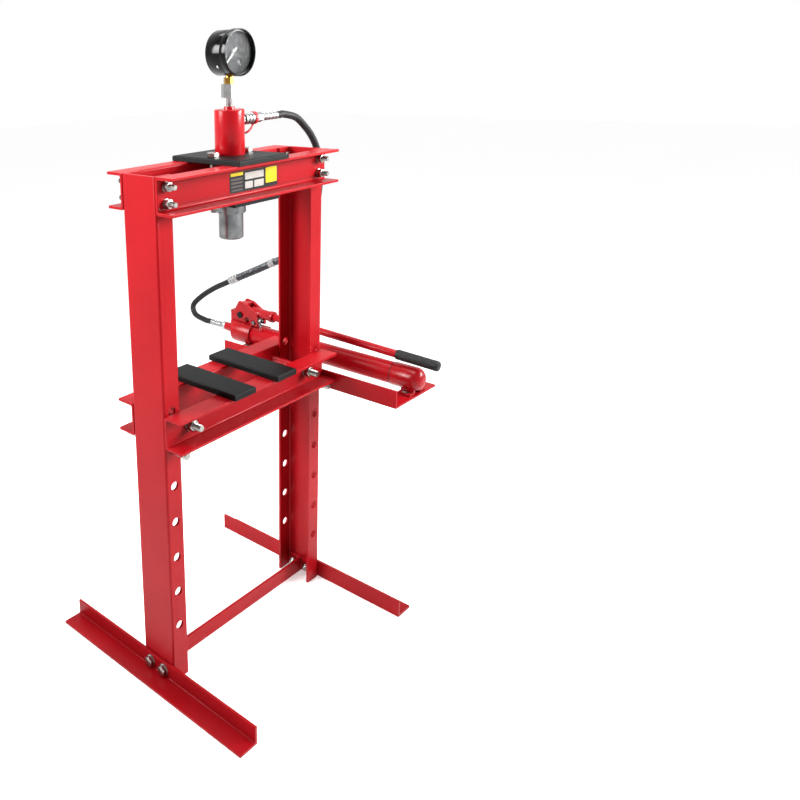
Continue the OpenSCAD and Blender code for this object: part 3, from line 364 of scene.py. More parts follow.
def mesh_arrays(mesh: bpy.types.Mesh) -> tuple[np.ndarray, np.ndarray]:
    """Read a mesh.

    Args:
        mesh: the mesh.

    Returns:
        Its points, and its triangles as point numbers.
    """
    points = np.zeros(len(mesh.vertices) * 3, np.float32)
    mesh.vertices.foreach_get("co", points)
    mesh.calc_loop_triangles()
    corners = np.zeros(len(mesh.loop_triangles) * 3, np.int32)
    mesh.loop_triangles.foreach_get("vertices", corners)
    return points.reshape(-1, 3).astype(float), corners.reshape(-1, 3)


def solids_of(node: str) -> list[tuple[np.ndarray, np.ndarray]]:
    """Find the box of each separate solid in a CAD node.

    Points at one place are merged, then each point takes the lowest label of its triangles until none changes.

    Args:
        node: the CAD node's name.

    Returns:
        Lowest and highest corners, one pair per solid, in metres.
    """
    same_place = 1e-6
    points, corners = mesh_arrays(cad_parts[node].data)
    _, merged = np.unique(np.round(points / same_place).astype(np.int64), axis=0, return_inverse=True)
    merged = merged.ravel()
    triangles = merged[corners]
    label = np.arange(merged.max() + 1)
    while True:
        lowest = label[triangles].min(1)
        after = label.copy()
        np.minimum.at(after, triangles.ravel(), np.repeat(lowest, 3))
        if np.array_equal(after, label):
            break
        label = after
    own = label[merged]
    return [(points[own == k].min(0), points[own == k].max(0)) for k in np.unique(own)]


@dataclass(frozen=True)
class HexSize:
    """A hexagon fastener: thread diameter, width across the flats, height of head or nut, and pitch, in millimetres.

    The flat end of a hexagon is given as a share of its width, and a thread's depth and taper as shares of its pitch.
    """

    thread: float
    flats: float
    height: float
    pitch: float
    end_share: float = 0.475
    cone_deg: float = 30.0
    cone_rows: int = 6
    thread_depth: float = 0.6
    groove_share: float = 0.9
    end_taper: float = 0.8
    rows_per_turn: int = 6

    def hexagon(self, bore: float = 0.0) -> Shell:
        """Make a head or nut along Z: a hexagon cut by a flat cone at its ends.

        The radius at an angle is the hexagon's own, or the cone's where that is smaller.

        Args:
            bore: diameter of the hole through a nut, in millimetres, or zero for a head.

        Returns:
            A closed shell in metres, from z = 0 to its height.
        """
        angle = round_angles(72)
        flat = self.flats / 2 / np.cos((angle % (np.pi / 3)) - np.pi / 6)
        slope = math.tan(math.radians(self.cone_deg))
        end_r = self.end_share * self.flats
        steps = (self.flats / math.sqrt(3) - end_r) * slope * np.linspace(0, 1, self.cone_rows)
        height = np.concatenate([steps, self.height - steps[::-1]])
        cone = end_r + np.minimum(height, self.height - height) / slope
        radius = np.minimum(flat[None, :], cone[:, None])
        if bore:
            inner = np.full((1, len(angle)), bore / 2)
            radius = np.concatenate([inner, radius, inner])
            height = np.concatenate([[0.0], height, [self.height]])
        return grid_shell(round_grid(radius, angle, height) * MM, loop=bool(bore))

    def screw(self, length: float) -> Shell:
        """Make a threaded shank along Z: the radius dips once per pitch along a helix and tapers at both ends.

        Args:
            length: the shank's length in millimetres.

        Returns:
            A closed shell in metres.
        """
        height = np.linspace(0, length, max(int(length / self.pitch * self.rows_per_turn), 12))
        angle = round_angles(24)
        groove = 0.5 - 0.5 * np.cos(2 * np.pi * height[:, None] / self.pitch - angle)
        taper = np.clip(1 - np.minimum(height, length - height) / (self.end_taper * self.pitch), 0, 1)
        dip = np.maximum(groove * self.groove_share, taper[:, None])
        return grid_shell(round_grid(self.thread / 2 - self.thread_depth * self.pitch * dip, angle, height) * MM)


M8 = HexSize(8, 13, 5, 1.25)
M10 = HexSize(10, 17, 7, 1.5)
M12 = HexSize(12, 19, 8, 1.75)
M16 = HexSize(16, 24, 10, 2.0)
FOOT_M12 = HexSize(12, 22, 11, 1.75)


@dataclass(frozen=True)
class Fasteners:
    """The bolts, studs and nuts: threads and chamfered hexagons over the plain solids."""

    finish: Finish = ZINC
    slot: str = "zinc_fastener"
    thread_gap: float = 0.05
    flange_d: float = 28.0
    flange_h: float = 2.5
    flange_cone: float = 3.0
    flange_crown: float = 0.8
    flange_edge: float = 0.4

    def dress(self, node: str, way: Axis, make: Callable[[float], Shell], word: str, tips: Tips = Tips.ALONG) -> None:
        """Replace each solid of a node with a shell made for its length.

        Args:
            node: the CAD node.
            way: the axis that the solids lie along.
            make: gives the shell along Z for a length in millimetres.
            word: the end of the new piece's name.
            tips: the way that the shells' Z points.
        """
        k = way.value
        beyond, short = tips.value
        shells = []
        for low, high in solids_of(node):
            start = (low + high) / 2
            sign = beyond if start[k] > row((0, 0, 0))[k] else short
            start[k] = low[k] if sign > 0 else high[k]
            shells.append(make((high - low)[k] / MM).moved(set_on(start, way, sign)))
        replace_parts(join(shells).to_object(f"{node}_{word}", Body.PRESS, self.finish, self.slot), node)

    def bolts(self, node: str, size: HexSize, way: Axis, tips: Tips, flanges: Sequence[Shell] = ()) -> None:
        """Replace a node of bolts.

        Args:
            node: the CAD node.
            size: the bolts' size.
            way: the axis that they lie along.
            tips: the way that they point.
            flanges: what the head carries besides its hexagon.
        """
        def bolt(length: float) -> Shell:
            """Make a head and a shank of one length in all."""
            return join([size.hexagon(), size.screw(length - size.height).moved(lifted(size.height)), *flanges])

        self.dress(node, way, bolt, "threaded", tips)

    def studs(self, node: str, size: HexSize, way: Axis) -> None:
        """Replace a node of threaded rods along an axis."""
        self.dress(node, way, size.screw, "threaded")

    def nuts(self, node: str, size: HexSize, way: Axis) -> None:
        """Replace a node of nuts along an axis; their height is the solid's own."""
        bore = size.thread + 2 * self.thread_gap
        self.dress(node, way, lambda height: replace(size, height=height).hexagon(bore), "chamfered")

    def flange(self, size: HexSize) -> Shell:
        """Make the round flange under a head, with its crown inside the hexagon.

        Args:
            size: the bolt's size.

        Returns:
            A closed shell.
        """
        rim = self.flange_d / 2
        profile = ((rim - self.flange_cone, -self.flange_crown), (rim, self.flange_edge), (rim, self.flange_h))
        return turned(profile, 48).moved(lifted(size.height - self.flange_h))

    def build(self) -> None:
        """Dress every fastener of the press."""
        self.bolts("beam_bolts", M12, Axis.Y, Tips.OUTWARDS)
        self.nuts("beam_nuts", M12, Axis.Y)
        self.studs("tie_rods", M16, Axis.Y)
        self.nuts("tie_nuts", M16, Axis.Y)
        self.bolts("foot_bolts", FOOT_M12, Axis.X, Tips.INWARDS, [self.flange(FOOT_M12)])
        self.nuts("foot_nuts", M12, Axis.X)
        self.bolts("clamp_bolts", M16, Axis.Z, Tips.AGAINST)
        self.nuts("clamp_nuts", M16, Axis.Z)
        self.bolts("tray_bolts", M10, Axis.X, Tips.AGAINST)
        self.nuts("tray_nuts", M10, Axis.X)
        self.bolts("pump_bolts", M8, Axis.Z, Tips.AGAINST)


def smooth_route(points: np.ndarray, steps: int) -> np.ndarray:
    """Run a smooth cubic through the points of a route, as the hose's solid does.

    Args:
        points: the route's points.
        steps: equal steps in each span.

    Returns:
        The points of the curve.
    """
    last = len(points) - 1
    span = np.repeat(np.arange(last), steps)
    s = np.tile(np.arange(steps) / steps, last)[:, None]
    a, b = points[np.maximum(span - 1, 0)], points[span]
    c, d = points[span + 1], points[np.minimum(span + 2, last)]
    curve = (2 * b + (c - a) * s + (2 * a - 5 * b + 4 * c - d) * s ** 2 + (3 * b - a - 3 * c + d) * s ** 3) / 2
    return np.concatenate([curve, points[-1:]])


def unit(ways: np.ndarray) -> np.ndarray:
    """Scale each direction of an array to a length of one."""
    return ways / np.linalg.norm(ways, axis=1, keepdims=True)


def step_lengths(line: np.ndarray) -> np.ndarray:
    """Give the length of each step of a line."""
    return np.linalg.norm(np.diff(line, axis=0), axis=1)


def resampled(line: np.ndarray, along: np.ndarray, place: np.ndarray) -> np.ndarray:
    """Read a line at new places along it, given how far along its own points lie."""
    return np.stack([np.interp(place, along, line[:, k]) for k in range(3)], 1)


def path_frames(path: np.ndarray, reference: Sequence = (1.0, 1.0, 0.0)) -> tuple[np.ndarray, np.ndarray]:
    """Give two directions square to a path at each of its points.

    Args:
        path: the path's points.
        reference: a direction that the path never runs along.

    Returns:
        The first and second side directions, so that first, second and the path's way are right-handed.
    """
    way = np.gradient(path, axis=0)
    way[0], way[-1] = path[1] - path[0], path[-1] - path[-2]
    way = unit(way)
    first = unit(np.cross(way, reference))
    return first, np.cross(way, first)


def tube(path: np.ndarray, radius: np.ndarray | float, sides: int = 24, frames: tuple | None = None) -> Shell:
    """Carry a circle along a path: point = path + r (cos a first + sin a second).

    Args:
        path: the middle line in metres.
        radius: one radius, or one for each point of the path, in metres.
        sides: points round the tube.
        frames: the first and second side directions at each point, where they aren't the path's own.

    Returns:
        A closed shell.
    """
    first, second = frames or path_frames(path)
    angle = round_angles(sides)[None, :, None]
    size = np.broadcast_to(np.asarray(radius, float), (len(path),))[:, None, None]
    return grid_shell(path[:, None] + size * (np.cos(angle) * first[:, None] + np.sin(angle) * second[:, None]))


@dataclass(frozen=True)
class Hose:
    """The hose from the coupler over the column to the pump, with its spring guard, two ferrules and a middle clip.

    The guard's ends and middle are given as points of the route, and the crimps as shares of the ferrule.
    """

    start: Point = (161.55, 0, 1266)
    finish_end: Point = (385, 434, 607)
    lead: float = 14.0
    free: tuple[Point, ...] = (
        (236, 0, 1255), (270, 0, 1232), (298, 0, 1206), (320, 0, 1174), (338, 4, 1132), (354, 14, 1084),
        (372, 34, 1022), (394, 64, 957), (417, 102, 898), (434, 152, 854), (440, 196, 835), (444, 232, 819),
        (442, 300, 784), (437, 370, 749), (431, 414, 726), (424, 462, 700), (415, 508, 667), (407, 536, 635),
        (397, 517, 611))
    diameter: float = 17.0
    guard_first: int = 11
    guard_mid: int = 14
    guard_last: int = 16
    guard_gap: float = 0.2
    wire: float = 2.4
    coil_pitch: float = 5.0
    rows_per_coil: int = 18
    ferrule_wall: float = 3.6
    crimps: int = 3
    crimp_depth: float = 0.08
    crimp_edge: float = 0.35
    mouth: float = 0.86
    mouth_slope: float = 6.0
    steps: int = 12

    def route(self) -> np.ndarray:
        """Give the route's points in millimetres: a straight lead at each end and the free middle."""
        start = [np.array(self.start) + (i * self.lead, 0, 0) for i in range(3)]
        end = [np.array(self.finish_end) + (0, i * self.lead, 0) for i in (2, 1, 0)]
        return np.array([*start, *self.free, *end], float)

    def build(self) -> None:
        """Make the hose, its guard and the ferrules."""
        path = row(smooth_route(self.route(), self.steps))
        cover = tube(path, self.diameter / 2 * MM).to_object("hose_tube", Body.PRESS, HOSE_COVER, "hose_rubber", 60)
        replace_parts(cover, "hose")
        guard = self.guard(path)
        ferrules = self.ferrules(path)

    def stretches(self) -> tuple[list[slice], list[slice]]:
        """Share out the guarded part of the hose's line.

        Returns:
            The stretches that the coils cover, and those that the ferrules and the clip cover.
        """
        first, middle, last = (n * self.steps for n in (self.guard_first, self.guard_mid, self.guard_last))
        clip, reach = self.steps // 3, 2 * self.steps // 3
        coils = ((first, middle), (middle + clip, last))
        holders = ((first - reach, first), (middle, middle + clip), (last, last + reach))
        return [slice(a, b + 1) for a, b in coils], [slice(a, b + 1) for a, b in holders]

    def guard(self, path: np.ndarray) -> bpy.types.Object:
        """Wind the guard's two runs of wire about the hose's own line.

        Args:
            path: the hose's middle line in metres.

        Returns:
            The guard.
        """
        coils = join([self.coil(path[part]) for part in self.stretches()[0]])
        piece = coils.to_object("spring_guard_coil", Body.PRESS, GUARD_WIRE, "hose_rubber", 80)
        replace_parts(piece, "spring_guard")
        return piece

    def coil(self, line: np.ndarray) -> Shell:
        """Wind one run of wire: centre + mean radius (cos t first + sin t second), with a round wire about it.

        Args:
            line: the stretch of the hose's middle line that it covers, in metres.

        Returns:
            A closed shell.
        """
        along = np.concatenate([[0], np.cumsum(step_lengths(line))])
        turns = along[-1] / (self.coil_pitch * MM)
        place = np.linspace(0, along[-1], int(turns * self.rows_per_coil))
        centre = resampled(line, along, place)
        first, second = path_frames(centre)
        turn = 2 * np.pi * turns * (place / along[-1])[:, None]
        out = np.cos(turn) * first + np.sin(turn) * second
        wound = centre + (self.diameter / 2 + self.guard_gap + self.wire / 2) * MM * out
        side = np.cross(unit(np.gradient(wound, axis=0)), out)
        return tube(wound, self.wire / 2 * MM, 8, (out, side))

    def ferrules(self, path: np.ndarray) -> bpy.types.Object:
        """Make the two crimped ferrules that hold the guard's ends, and the clip at its middle.

        The radius steps in between the crimps, and runs in at both mouths.

        Args:
            path: the hose's middle line in metres.

        Returns:
            All three as one piece.
        """
        outer = (self.diameter / 2 + self.guard_gap + self.ferrule_wall) * MM
        place = np.linspace(0, 1, 25)
        raised = np.abs(np.sin(self.crimps * np.pi * place)) > self.crimp_edge
        ends = np.minimum(1, self.mouth + self.mouth_slope * np.minimum(place, 1 - place))
        radius = outer * np.minimum(1 - self.crimp_depth + self.crimp_depth * raised, ends)
        lines = [path[part] for part in self.stretches()[1]]
        shells = [tube(resampled(line, np.linspace(0, 1, len(line)), place), radius, 32) for line in lines]
        piece = join(shells).to_object("guard_ferrules_crimped", Body.PRESS, CHROME, "chrome_fitting", 30)
        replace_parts(piece, "guard_ferrules")
        return piece


@dataclass(frozen=True)
class Gauge:
    """The pressure gauge's face: printed scale, the pointer's hub and weight, and the case's vent screw.

    Turned pieces are given as profiles of radius and height.
    """

    centre: Point = (0, 23, 1411)
    dial_front: float = 33.5
    scale_r: float = 41.0
    tick_major: float = 7.0
    tick_minor: float = 4.0
    major_half: float = 0.75
    minor_half: float = 0.4
    print_low: float = 0.02
    print_high: float = 0.18
    sweep_deg: float = 270.0
    first_deg: float = 225.0
    divisions: int = 50
    major_every: int = 5
    top_value: int = 10
    value_step: int = 2
    numeral: float = 8.0
    numeral_gap: float = 5.0
    numeral_lift: float = 0.1
    numeral_half: float = 0.08
    needle_deg: float = 225.0
    needle_lift: float = 4.7
    hub_r: float = 3.4
    hub_base: float = 0.6
    hub_dome: float = 1.6
    tail: float = 11.0
    weight: tuple = ((2.8, 0), (2.8, 0.5), (2.2, 0.9))
    case_r: float = 48.5
    vent_deg: float = 216.0
    vent_y: float = -5.0
    vent_sunk: float = 0.2
    vent: tuple = ((3.2, 0), (3.2, 1.2), (2.6, 1.8), (1.0, 1.9))

    def face_point(self, radius: np.ndarray | float, degrees: np.ndarray | float, lift: float) -> np.ndarray:
        """Give a point on the dial: right is X and up is Z, seen from the front.

        Args:
            radius: distance from the hub, in millimetres.
            degrees: angle from three o'clock, anticlockwise.
            lift: height over the dial's face, in millimetres.

        Returns:
            The point in metres.
        """
        angle = np.radians(degrees)
        x, y, z = self.centre
        depth = np.broadcast_to(y - self.dial_front - lift, np.shape(radius * np.cos(angle)))
        return row(np.stack([x + radius * np.cos(angle), depth, z + radius * np.sin(angle)], -1))

    def ticks(self) -> None:
        """Print the scale: each mark is a thin slab along its own radius."""
        mark = np.arange(self.divisions + 1)
        degrees = self.first_deg - self.sweep_deg * mark / self.divisions
        major = mark % self.major_every == 0
        inner = self.scale_r - np.where(major, self.tick_major, self.tick_minor)
        half = np.where(major, self.major_half, self.minor_half)
        shells = []
        for angle, low, width in zip(degrees, inner, half):
            radius = np.array([low, low, self.scale_r, self.scale_r])
            swing = np.array([1, -1, -1, 1]) * np.degrees(width / radius)
            rings = [self.face_point(radius, angle + swing, lift) for lift in (self.print_low, self.print_high)]
            shells.append(grid_shell(np.array(rings)))
        join(shells).to_object("gauge_scale_marks", Body.PRESS, WHITE, "needle_white")

    def numerals(self) -> None:
        """Print plain numbers round the scale, made meshes before they are placed."""
        shells = []
        for value in range(0, self.top_value + 1, self.value_step):
            letters = bpy.data.curves.new(f"numeral_{value}", "FONT")
            letters.body = str(value)
            letters.size = self.numeral * MM
            letters.align_x = "CENTER"
            letters.align_y = "CENTER"
            letters.extrude = self.numeral_half * MM
            holder = bpy.data.objects.new(f"numeral_{value}", letters)
            bpy.context.scene.collection.objects.link(holder)
            bpy.context.view_layer.update()
            points, corners = mesh_arrays(holder.evaluated_get(bpy.context.evaluated_depsgraph_get()).to_mesh())
            angle = self.first_deg - self.sweep_deg * value / self.top_value
            spot = self.face_point(self.scale_r - self.tick_major - self.numeral_gap, angle, self.numeral_lift)
            shells.append(Shell(points, tris=corners).moved(set_on(spot, Axis.Y, -1)))
            holder.to_mesh_clear()
            bpy.data.objects.remove(holder)
            bpy.data.curves.remove(letters)
        join(shells).to_object("gauge_numerals", Body.PRESS, WHITE, "needle_white")

    def hub(self) -> None:
        """Make the pointer's domed hub and counterweight, which turn with it.

        The dome's radius falls as a cosine while its height rises as a sine.
        """
        rise = np.linspace(0, np.pi / 2, 7)[:-1]
        dome = np.stack([self.hub_r * np.cos(rise), self.hub_base + self.hub_dome * np.sin(rise)], 1)
        hub = turned(np.concatenate([[(self.hub_r, 0.0)], dome]), 32)
        seat = set_on(self.face_point(0.0, 0.0, self.needle_lift), Axis.Y, -1)
        hub.moved(seat).to_object("gauge_needle_hub", Body.NEEDLE, WHITE, "needle_white")
        tail = set_on(self.face_point(-self.tail, self.needle_deg, self.needle_lift), Axis.Y, -1)
        turned(self.weight, 24).moved(tail).to_object("gauge_needle_weight", Body.NEEDLE, WHITE, "needle_white")

    def vent_screw(self) -> None:
        """Set the small screw in the side of the case."""
        x, _, z = self.centre
        angle = math.radians(self.vent_deg)
        out = np.array([math.cos(angle), 0, math.sin(angle)])
        spot = row((x + self.case_r * out[0], self.vent_y, z + self.case_r * out[2])) - out * self.vent_sunk * MM
        head = turned(self.vent, 24).moved(placed(spot, out, np.array([0, 1.0, 0])))
        head.to_object("gauge_vent_screw", Body.PRESS, ZINC, "zinc_fastener")

    def build(self) -> None:
        """Dress the gauge."""
        self.ticks()
        self.numerals()
        self.hub()
        self.vent_screw()


@dataclass(frozen=True)
class Grip:
    """The handle's moulded grip: long flutes between two plain bands, and a rounded end.

    Lengths run along the handle from the lever's pivot, which lies over the tank's middle line.
    """

    pivot: Point = (385, 300, 607 + 42 + 50 * math.tan(math.radians(16)))
    lift: float = 13.6
    tilt_deg: float = 2.0
    back: float = -206.0
    front: float = -320.0
    radius: float = 13.0
    end_round: float = 4.0
    back_step: float = 0.8
    flutes: int = 20
    flute_depth: float = 0.5
    flute_ease: float = 3.0
    back_band: float = 10.0
    front_band: float = 14.0

    def surface(self) -> np.ndarray:
        """Work out the grip along Z: a cylinder with a rounded end, less a cosine wave round its fluted zone.

        Returns:
            The grid of points in metres, with its rows closer together at the rounded end.
        """
        length = self.back - self.front
        height = length * np.concatenate([np.linspace(0, 0.9, 60), np.linspace(0.905, 1.0, 16)])
        edge = np.clip((height - (length - self.end_round)) / self.end_round, 0, 1)
        body = self.radius - self.end_round + self.end_round * np.sqrt(np.clip(1 - edge ** 2, 0, 1))
        body[0] -= self.back_step
        fluted = np.minimum(height - self.back_band, length - self.front_band - height)
        zone = np.clip(fluted / self.flute_ease, 0, 1)
        angle = round_angles(120)
        wave = 0.5 - 0.5 * np.cos(self.flutes * angle)
        return round_grid(body[:, None] - self.flute_depth * zone[:, None] * wave, angle, height) * MM

    def build(self) -> None:
        """Replace the grip's plain solid with the fluted one."""
        tilt = math.radians(self.tilt_deg)
        turn = np.array([[1, 0, 0], [0, math.cos(tilt), -math.sin(tilt)], [0, math.sin(tilt), math.cos(tilt)]])
        matrix = set_on((0, 0, 0), Axis.Y, -1)
        matrix[:3, :3] = turn @ matrix[:3, :3]
        matrix[:3, 3] = row(np.array(self.pivot) + turn @ np.array([0, self.back - self.pivot[1], self.lift]))
        piece = grid_shell(self.surface()).moved(matrix).to_object("handle_grip_fluted", Body.LEVER, GRIP_RUBBER,
                                                                   "grip_rubber", 50)
        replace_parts(piece, "handle_grip")


@dataclass(frozen=True)
class Welds:
    """Fillet welds: a rippled bead along each welded corner of the brace and of the tray's shelves."""

    size: float = 4.0
    ripple: float = 3.0
    swell: float = 0.12
    tip_share: float = 0.02
    rows_per_ripple: int = 6
    brace_x: float = 265.0
    brace_y: float = 3.0
    brace_z: tuple[float, float] = (5.0, 41.0)
    shelf_x: float = 282.0
    shelf_z: float = 570.5
    shelf_runs: tuple = ((-269, -228), (241, 282))

    def bead(self, start: Sequence, end: Sequence) -> Shell:
        """Lay one bead: a tube whose radius swells once per ripple and closes at the ends.

        Args:
            start: first point in millimetres.
            end: last point in millimetres.

        Returns:
            A closed shell.
        """
        start, end = row(start), row(end)
        length = float(np.linalg.norm(end - start))
        ripples = length / (self.ripple * MM)
        place = np.linspace(0, 1, max(int(ripples * self.rows_per_ripple), 12))
        swell = 1 - self.swell + self.swell * np.abs(np.cos(np.pi * place * ripples))
        radius = self.size / 2 * MM
        close = np.sqrt(np.clip(np.minimum(place, 1 - place) * length / radius, self.tip_share, 1))
        return tube(start + place[:, None] * (end - start), radius * swell * close, 10)

    def build(self) -> None:
        """Lay the beads of the brace and of the tray's shelves."""
        low, high = self.brace_z
        spots = [(sx * self.brace_x, sy * self.brace_y) for sx in (-1, 1) for sy in (-1, 1)]
        beads = [self.bead((x, y, low), (x, y, high)) for x, y in spots]
        beads += [self.bead((self.shelf_x, a, self.shelf_z), (self.shelf_x, b, self.shelf_z))
                  for a, b in self.shelf_runs]
        join(beads).to_object("weld_beads", Body.PRESS, WELD_PAINT, "red_paint", 60)


@dataclass(frozen=True)
class TankJoint:
    """The dark line of painted shade where the tank enters its end cap, standing for the shadow in the seam."""

    centre: Point = (385, -202, 607)
    tank_r: float = 28.0
    proud: float = 1.2
    width: float = 4.0
    crest: float = 2.4
    sunk: float = 0.3

    def build(self) -> None:
        """Lay the painted shade as a dark ring round the tank, against the cap's rim."""
        inner, outer = self.tank_r - self.sunk, self.tank_r + self.proud
        profile = ((inner, 0), (outer, 0), (outer, self.crest), (inner, self.width))
        ring = turned(profile, 72, loop=True).moved(set_on(row(self.centre), Axis.Y))
        ring.to_object("tank_joint_shade", Body.PRESS, JOINT_SHADE_PAINT, "red_paint")


@dataclass(frozen=True)
class BeamLabel:
    """A plain film on the front beam: a dark field with grey, pale and yellow blocks.

    Each colour has its name, how many films lie under it, its finish, its slot and its blocks. A block is its left,
    right, lower and upper edges as shares of the film's width and height.
    """

    left: float = -65.0
    right: float = 97.0
    low: float = 1116.0
    high: float = 1162.0
    face: float = -56.0
    film: float = 0.25
    sunk: float = 0.05
    corner_power: float = 0.12
    layers: tuple = (
        ("dark", 0, FILM_DARK, "black_plate", ((0, 1, 0, 1),)),
        ("grey", 1, FILM_GREY, "zinc_fastener", tuple((0.03, 0.26, z, z + 0.1) for z in (0.08, 0.25, 0.42, 0.59))),
        ("pale", 1, FILM_PALE, "needle_white", (
            (0.31, 0.7, 0.55, 0.88), (0.31, 0.47, 0.12, 0.45), (0.5, 0.7, 0.12, 0.45))),
        ("yellow", 1, FILM_YELLOW, "brass", ((0.02, 0.27, 0.8, 0.95), (0.74, 0.98, 0.2, 0.95))))

    def block(self, shares: Sequence[float], layer: int) -> Shell:
        """Make one flat block of film with round corners and a real thickness.

        Its edge is half the width times cos a, and half the height times sin a, each raised to a small power.

        Args:
            shares: the block's edges.
            layer: how many films lie under it.

        Returns:
            A closed shell.
        """
        x0, x1 = (self.left + s * (self.right - self.left) for s in shares[:2])
        z0, z1 = (self.low + s * (self.high - self.low) for s in shares[2:])
        across, up = (np.sign(v) * np.abs(v) ** self.corner_power
                      for v in (np.cos(round_angles(40)), np.sin(round_angles(40))))
        x = (x0 + x1) / 2 + (x1 - x0) / 2 * across
        z = (z0 + z1) / 2 + (z1 - z0) / 2 * up
        near = self.face - layer * self.film
        rings = [np.stack([x, np.full_like(x, near - h), z], -1) for h in (-self.sunk, self.film)]
        return grid_shell(row(np.array(rings)))

    def build(self) -> None:
        """Lay the film's blocks, one piece for each colour."""
        for name, layer, finish, slot, blocks in self.layers:
            join([self.block(b, layer) for b in blocks]).to_object(f"beam_film_{name}", Body.PRESS, finish, slot)


@dataclass(frozen=True)
class CarriedSolids:
    """The solids that keep their own shape: a finish and the width of a small edge round for each of them."""

    merge: float = 0.002
    segments: int = 2
    crisp_deg: float = 40.0
    groups: tuple[tuple[Finish, float, str], ...] = (
        (RED_PAINT, 0.8, "column_left column_right beam_front beam_rear bed_front bed_rear foot_left foot_right"
                         " lower_brace pump_tray pump_tank handle_tube"),
        (RED_GLOSS, 0.6, "barrel"),
        (RED_CASTING, 1.6, "pump_head pump_cap pump_lever"),
        (BLACK_PLATE, 0.8, "press_plate_left press_plate_right top_plate clamp_plate"),
        # The pivot pin's near-black is painted shade: it stands for the dark hole round the pin's end in the pump head
        (BLACK_PLATE, 0.5, "pivot_pin"),
        (ZINC, 0.5, "beam_washers tie_washers bed_pins"),
        (GROUND_STEEL, 0.5, "ram lock_ring pump_plunger plunger_gland"),
        (SPRING_WIRE, 0.0, "return_spring"),
        (CHROME, 0.5, "gauge_coupling coupler_nipple coupler_sleeve hose_nut_top hose_end_top hose_end_pump"
                      " hose_nut_pump release_valve"),
        (BRASS, 0.5, "gauge_stem"),
        (GAUGE_BLACK, 1.5, "gauge_case"),
        (GAUGE_BLACK, 0.7, "gauge_bezel"),
        (DIAL, 0.0, "gauge_dial"),
        (LENS, 0.0, "gauge_lens"),
        (WHITE, 0.2, "gauge_needle"),
        (RED_RUBBER, 0.8, "dust_cap"),
        (SEAL, 0.0, "ram_seal"))

    def build(self) -> None:
        """Give each solid its finish, and round its edges where the width isn't zero."""
        for finish, edge, name in ((f, e, n) for f, e, names in self.groups for n in names.split()):
            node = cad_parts[name]
            node.data.materials.clear()
            node.data.materials.append(finish.material())
            if edge:
                merge = node.modifiers.new("merge", "WELD")
                merge.merge_threshold = self.merge * MM
                rounding = node.modifiers.new("edge_round", "BEVEL")
                rounding.width = edge * MM
                rounding.segments = self.segments
                rounding.limit_method = "ANGLE"
                rounding.angle_limit = math.radians(self.crisp_deg)
            LOG.info("%s: %s", name, finish.name)


@dataclass(frozen=True)
class Lamp:
    """One soft square light: its place and target and its side in metres, its watts, and how wide it shines."""

    name: str
    place: Point
    target: Point
    side: float
    watts: float
    spread_deg: float = 180.0

    def hang(self) -> None:
        """Put the light into the scene, facing its target."""
        light = bpy.data.lights.new(self.name, "AREA")
        light.size = self.side
        light.energy = self.watts
        light.spread = math.radians(self.spread_deg)
        holder = bpy.data.objects.new(self.name, light)
        holder.location = self.place
        holder.rotation_euler = (Vector(self.target) - Vector(self.place)).to_track_quat("-Z", "Y").to_euler()
        bpy.context.scene.collection.objects.link(holder)


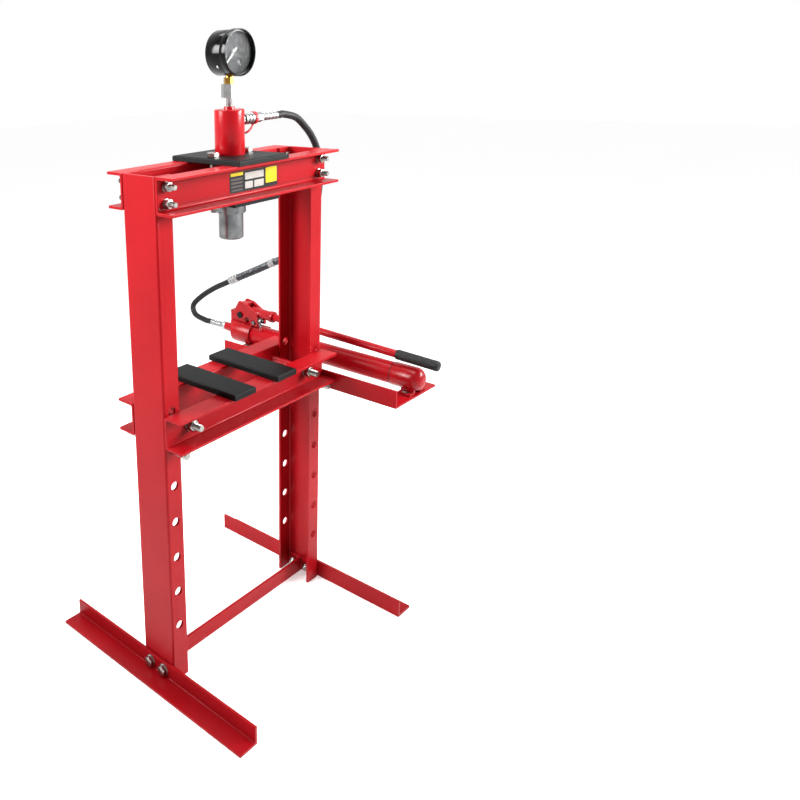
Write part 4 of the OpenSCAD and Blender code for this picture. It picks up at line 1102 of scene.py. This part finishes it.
@dataclass(frozen=True)
class Studio:
    """The photograph's viewpoint, a pale floor and soft light, with a white room that is dimmer on one side."""

    eye: Point = (-1359, -1230, 1412)
    yaw_deg: float = 42.67
    pitch_deg: float = 14.39
    roll_deg: float = -2.25
    focal_px: float = 818.0
    image_px: float = 800.0
    middle_px: tuple[float, float] = (160.0, 265.0)
    sensor: float = 36.0
    far_m: float = 50.0
    floor_half_m: float = 14.0
    floor_lines: int = 8
    floor_drop_m: float = 0.0005
    bright_way: Point = (0.72, 0.69, 0.0)
    dim: float = 0.4
    dim_from: float = -0.1
    bright_from: float = 0.7
    lamps: tuple[Lamp, ...] = (Lamp("key_left", (-1.9, 1.0, 2.0), (-0.2, 0, 1.3), 1.2, 23.0, 70.0),
                               Lamp("fill_front", (1.9, -2.3, 2.1), (0, 0, 1.4), 1.5, 44.0, 62.0),
                               Lamp("top", (0.2, 0.2, 3.4), (0, 0, 0), 2.0, 95.0))

    def camera(self) -> None:
        """Stand the camera where the photograph was taken from, with the photograph's framing as a shift."""
        yaw, pitch, roll = (math.radians(v) for v in (self.yaw_deg, self.pitch_deg, self.roll_deg))
        ahead = Vector((math.sin(yaw) * math.cos(pitch), math.cos(yaw) * math.cos(pitch), -math.sin(pitch)))
        level = Vector((math.cos(yaw), -math.sin(yaw), 0.0))
        upright = level.cross(ahead)
        right = level * math.cos(roll) + upright * math.sin(roll)
        up = upright * math.cos(roll) - level * math.sin(roll)
        lens = bpy.data.cameras.new("photo_camera")
        lens.sensor_width = self.sensor
        lens.sensor_fit = "HORIZONTAL"
        lens.lens = self.focal_px / self.image_px * self.sensor
        lens.shift_x = (self.image_px / 2 - self.middle_px[0]) / self.image_px
        lens.shift_y = (self.middle_px[1] - self.image_px / 2) / self.image_px
        lens.clip_end = self.far_m
        camera = bpy.data.objects.new("photo_camera", lens)
        place = Matrix((right, up, -ahead)).transposed().to_4x4()
        place.translation = Vector(row(self.eye))
        camera.matrix_world = place
        bpy.context.scene.collection.objects.link(camera)
        bpy.context.scene.camera = camera

    def floor(self) -> None:
        """Lay a wide pale floor under the feet: a flat grid of quads."""
        span = np.linspace(-self.floor_half_m, self.floor_half_m, self.floor_lines)
        x, y = np.meshgrid(span, span, indexing="ij")
        points = np.stack([x, y, np.full_like(x, -self.floor_drop_m)], -1)
        index = np.arange(x.size).reshape(x.shape)
        quads = np.stack([index[:-1, :-1], index[1:, :-1], index[1:, 1:], index[:-1, 1:]], -1).reshape(-1, 4)
        mesh = bpy.data.meshes.new("studio_floor")
        mesh.from_pydata(points.reshape(-1, 3).tolist(), [], quads.tolist())
        mesh.materials.append(FLOOR.material())
        ground = bpy.data.objects.new("studio_floor", mesh)
        bpy.context.scene.collection.objects.link(ground)

    def light(self) -> None:
        """Fill the room with white light that is brighter beyond the press, and hang the lamps."""
        world = bpy.data.worlds.new("studio_white")
        world.use_nodes = True
        tree = world.node_tree
        way = add_node(tree, "ShaderNodeTexCoord").outputs["Generated"]
        facing = add_node(tree, "ShaderNodeVectorMath", {0: way, 1: self.bright_way}, operation="DOT_PRODUCT")
        level = add_node(tree, "ShaderNodeMapRange", {
            "Value": facing.outputs["Value"], "From Min": self.dim_from, "From Max": self.bright_from,
            "To Min": self.dim, "To Max": 1.0}, interpolation_type="SMOOTHSTEP")
        back = tree.nodes["Background"]
        back.inputs["Color"].default_value = (1.0, 1.0, 1.0, 1.0)
        tree.links.new(level.outputs["Result"], back.inputs["Strength"])
        bpy.context.scene.world = world
        for lamp in self.lamps:
            lamp.hang()

    def build(self) -> None:
        """Set up the studio."""
        bpy.context.scene.view_settings.view_transform = "Standard"
        self.camera()
        self.floor()
        self.light()


def main() -> None:
    """Build the studio and every sub-assembly in order, logging each one as it is built."""
    logging.basicConfig(level=logging.INFO, format="%(name)s: %(message)s")
    for assembly in (Studio(), Hose(), CarriedSolids(), Fasteners(), Gauge(), Grip(), Welds(), TankJoint(),
                     BeamLabel()):
        assembly.build()
        LOG.info("%s built", type(assembly).__name__)


if __name__ == "__main__":
    main()
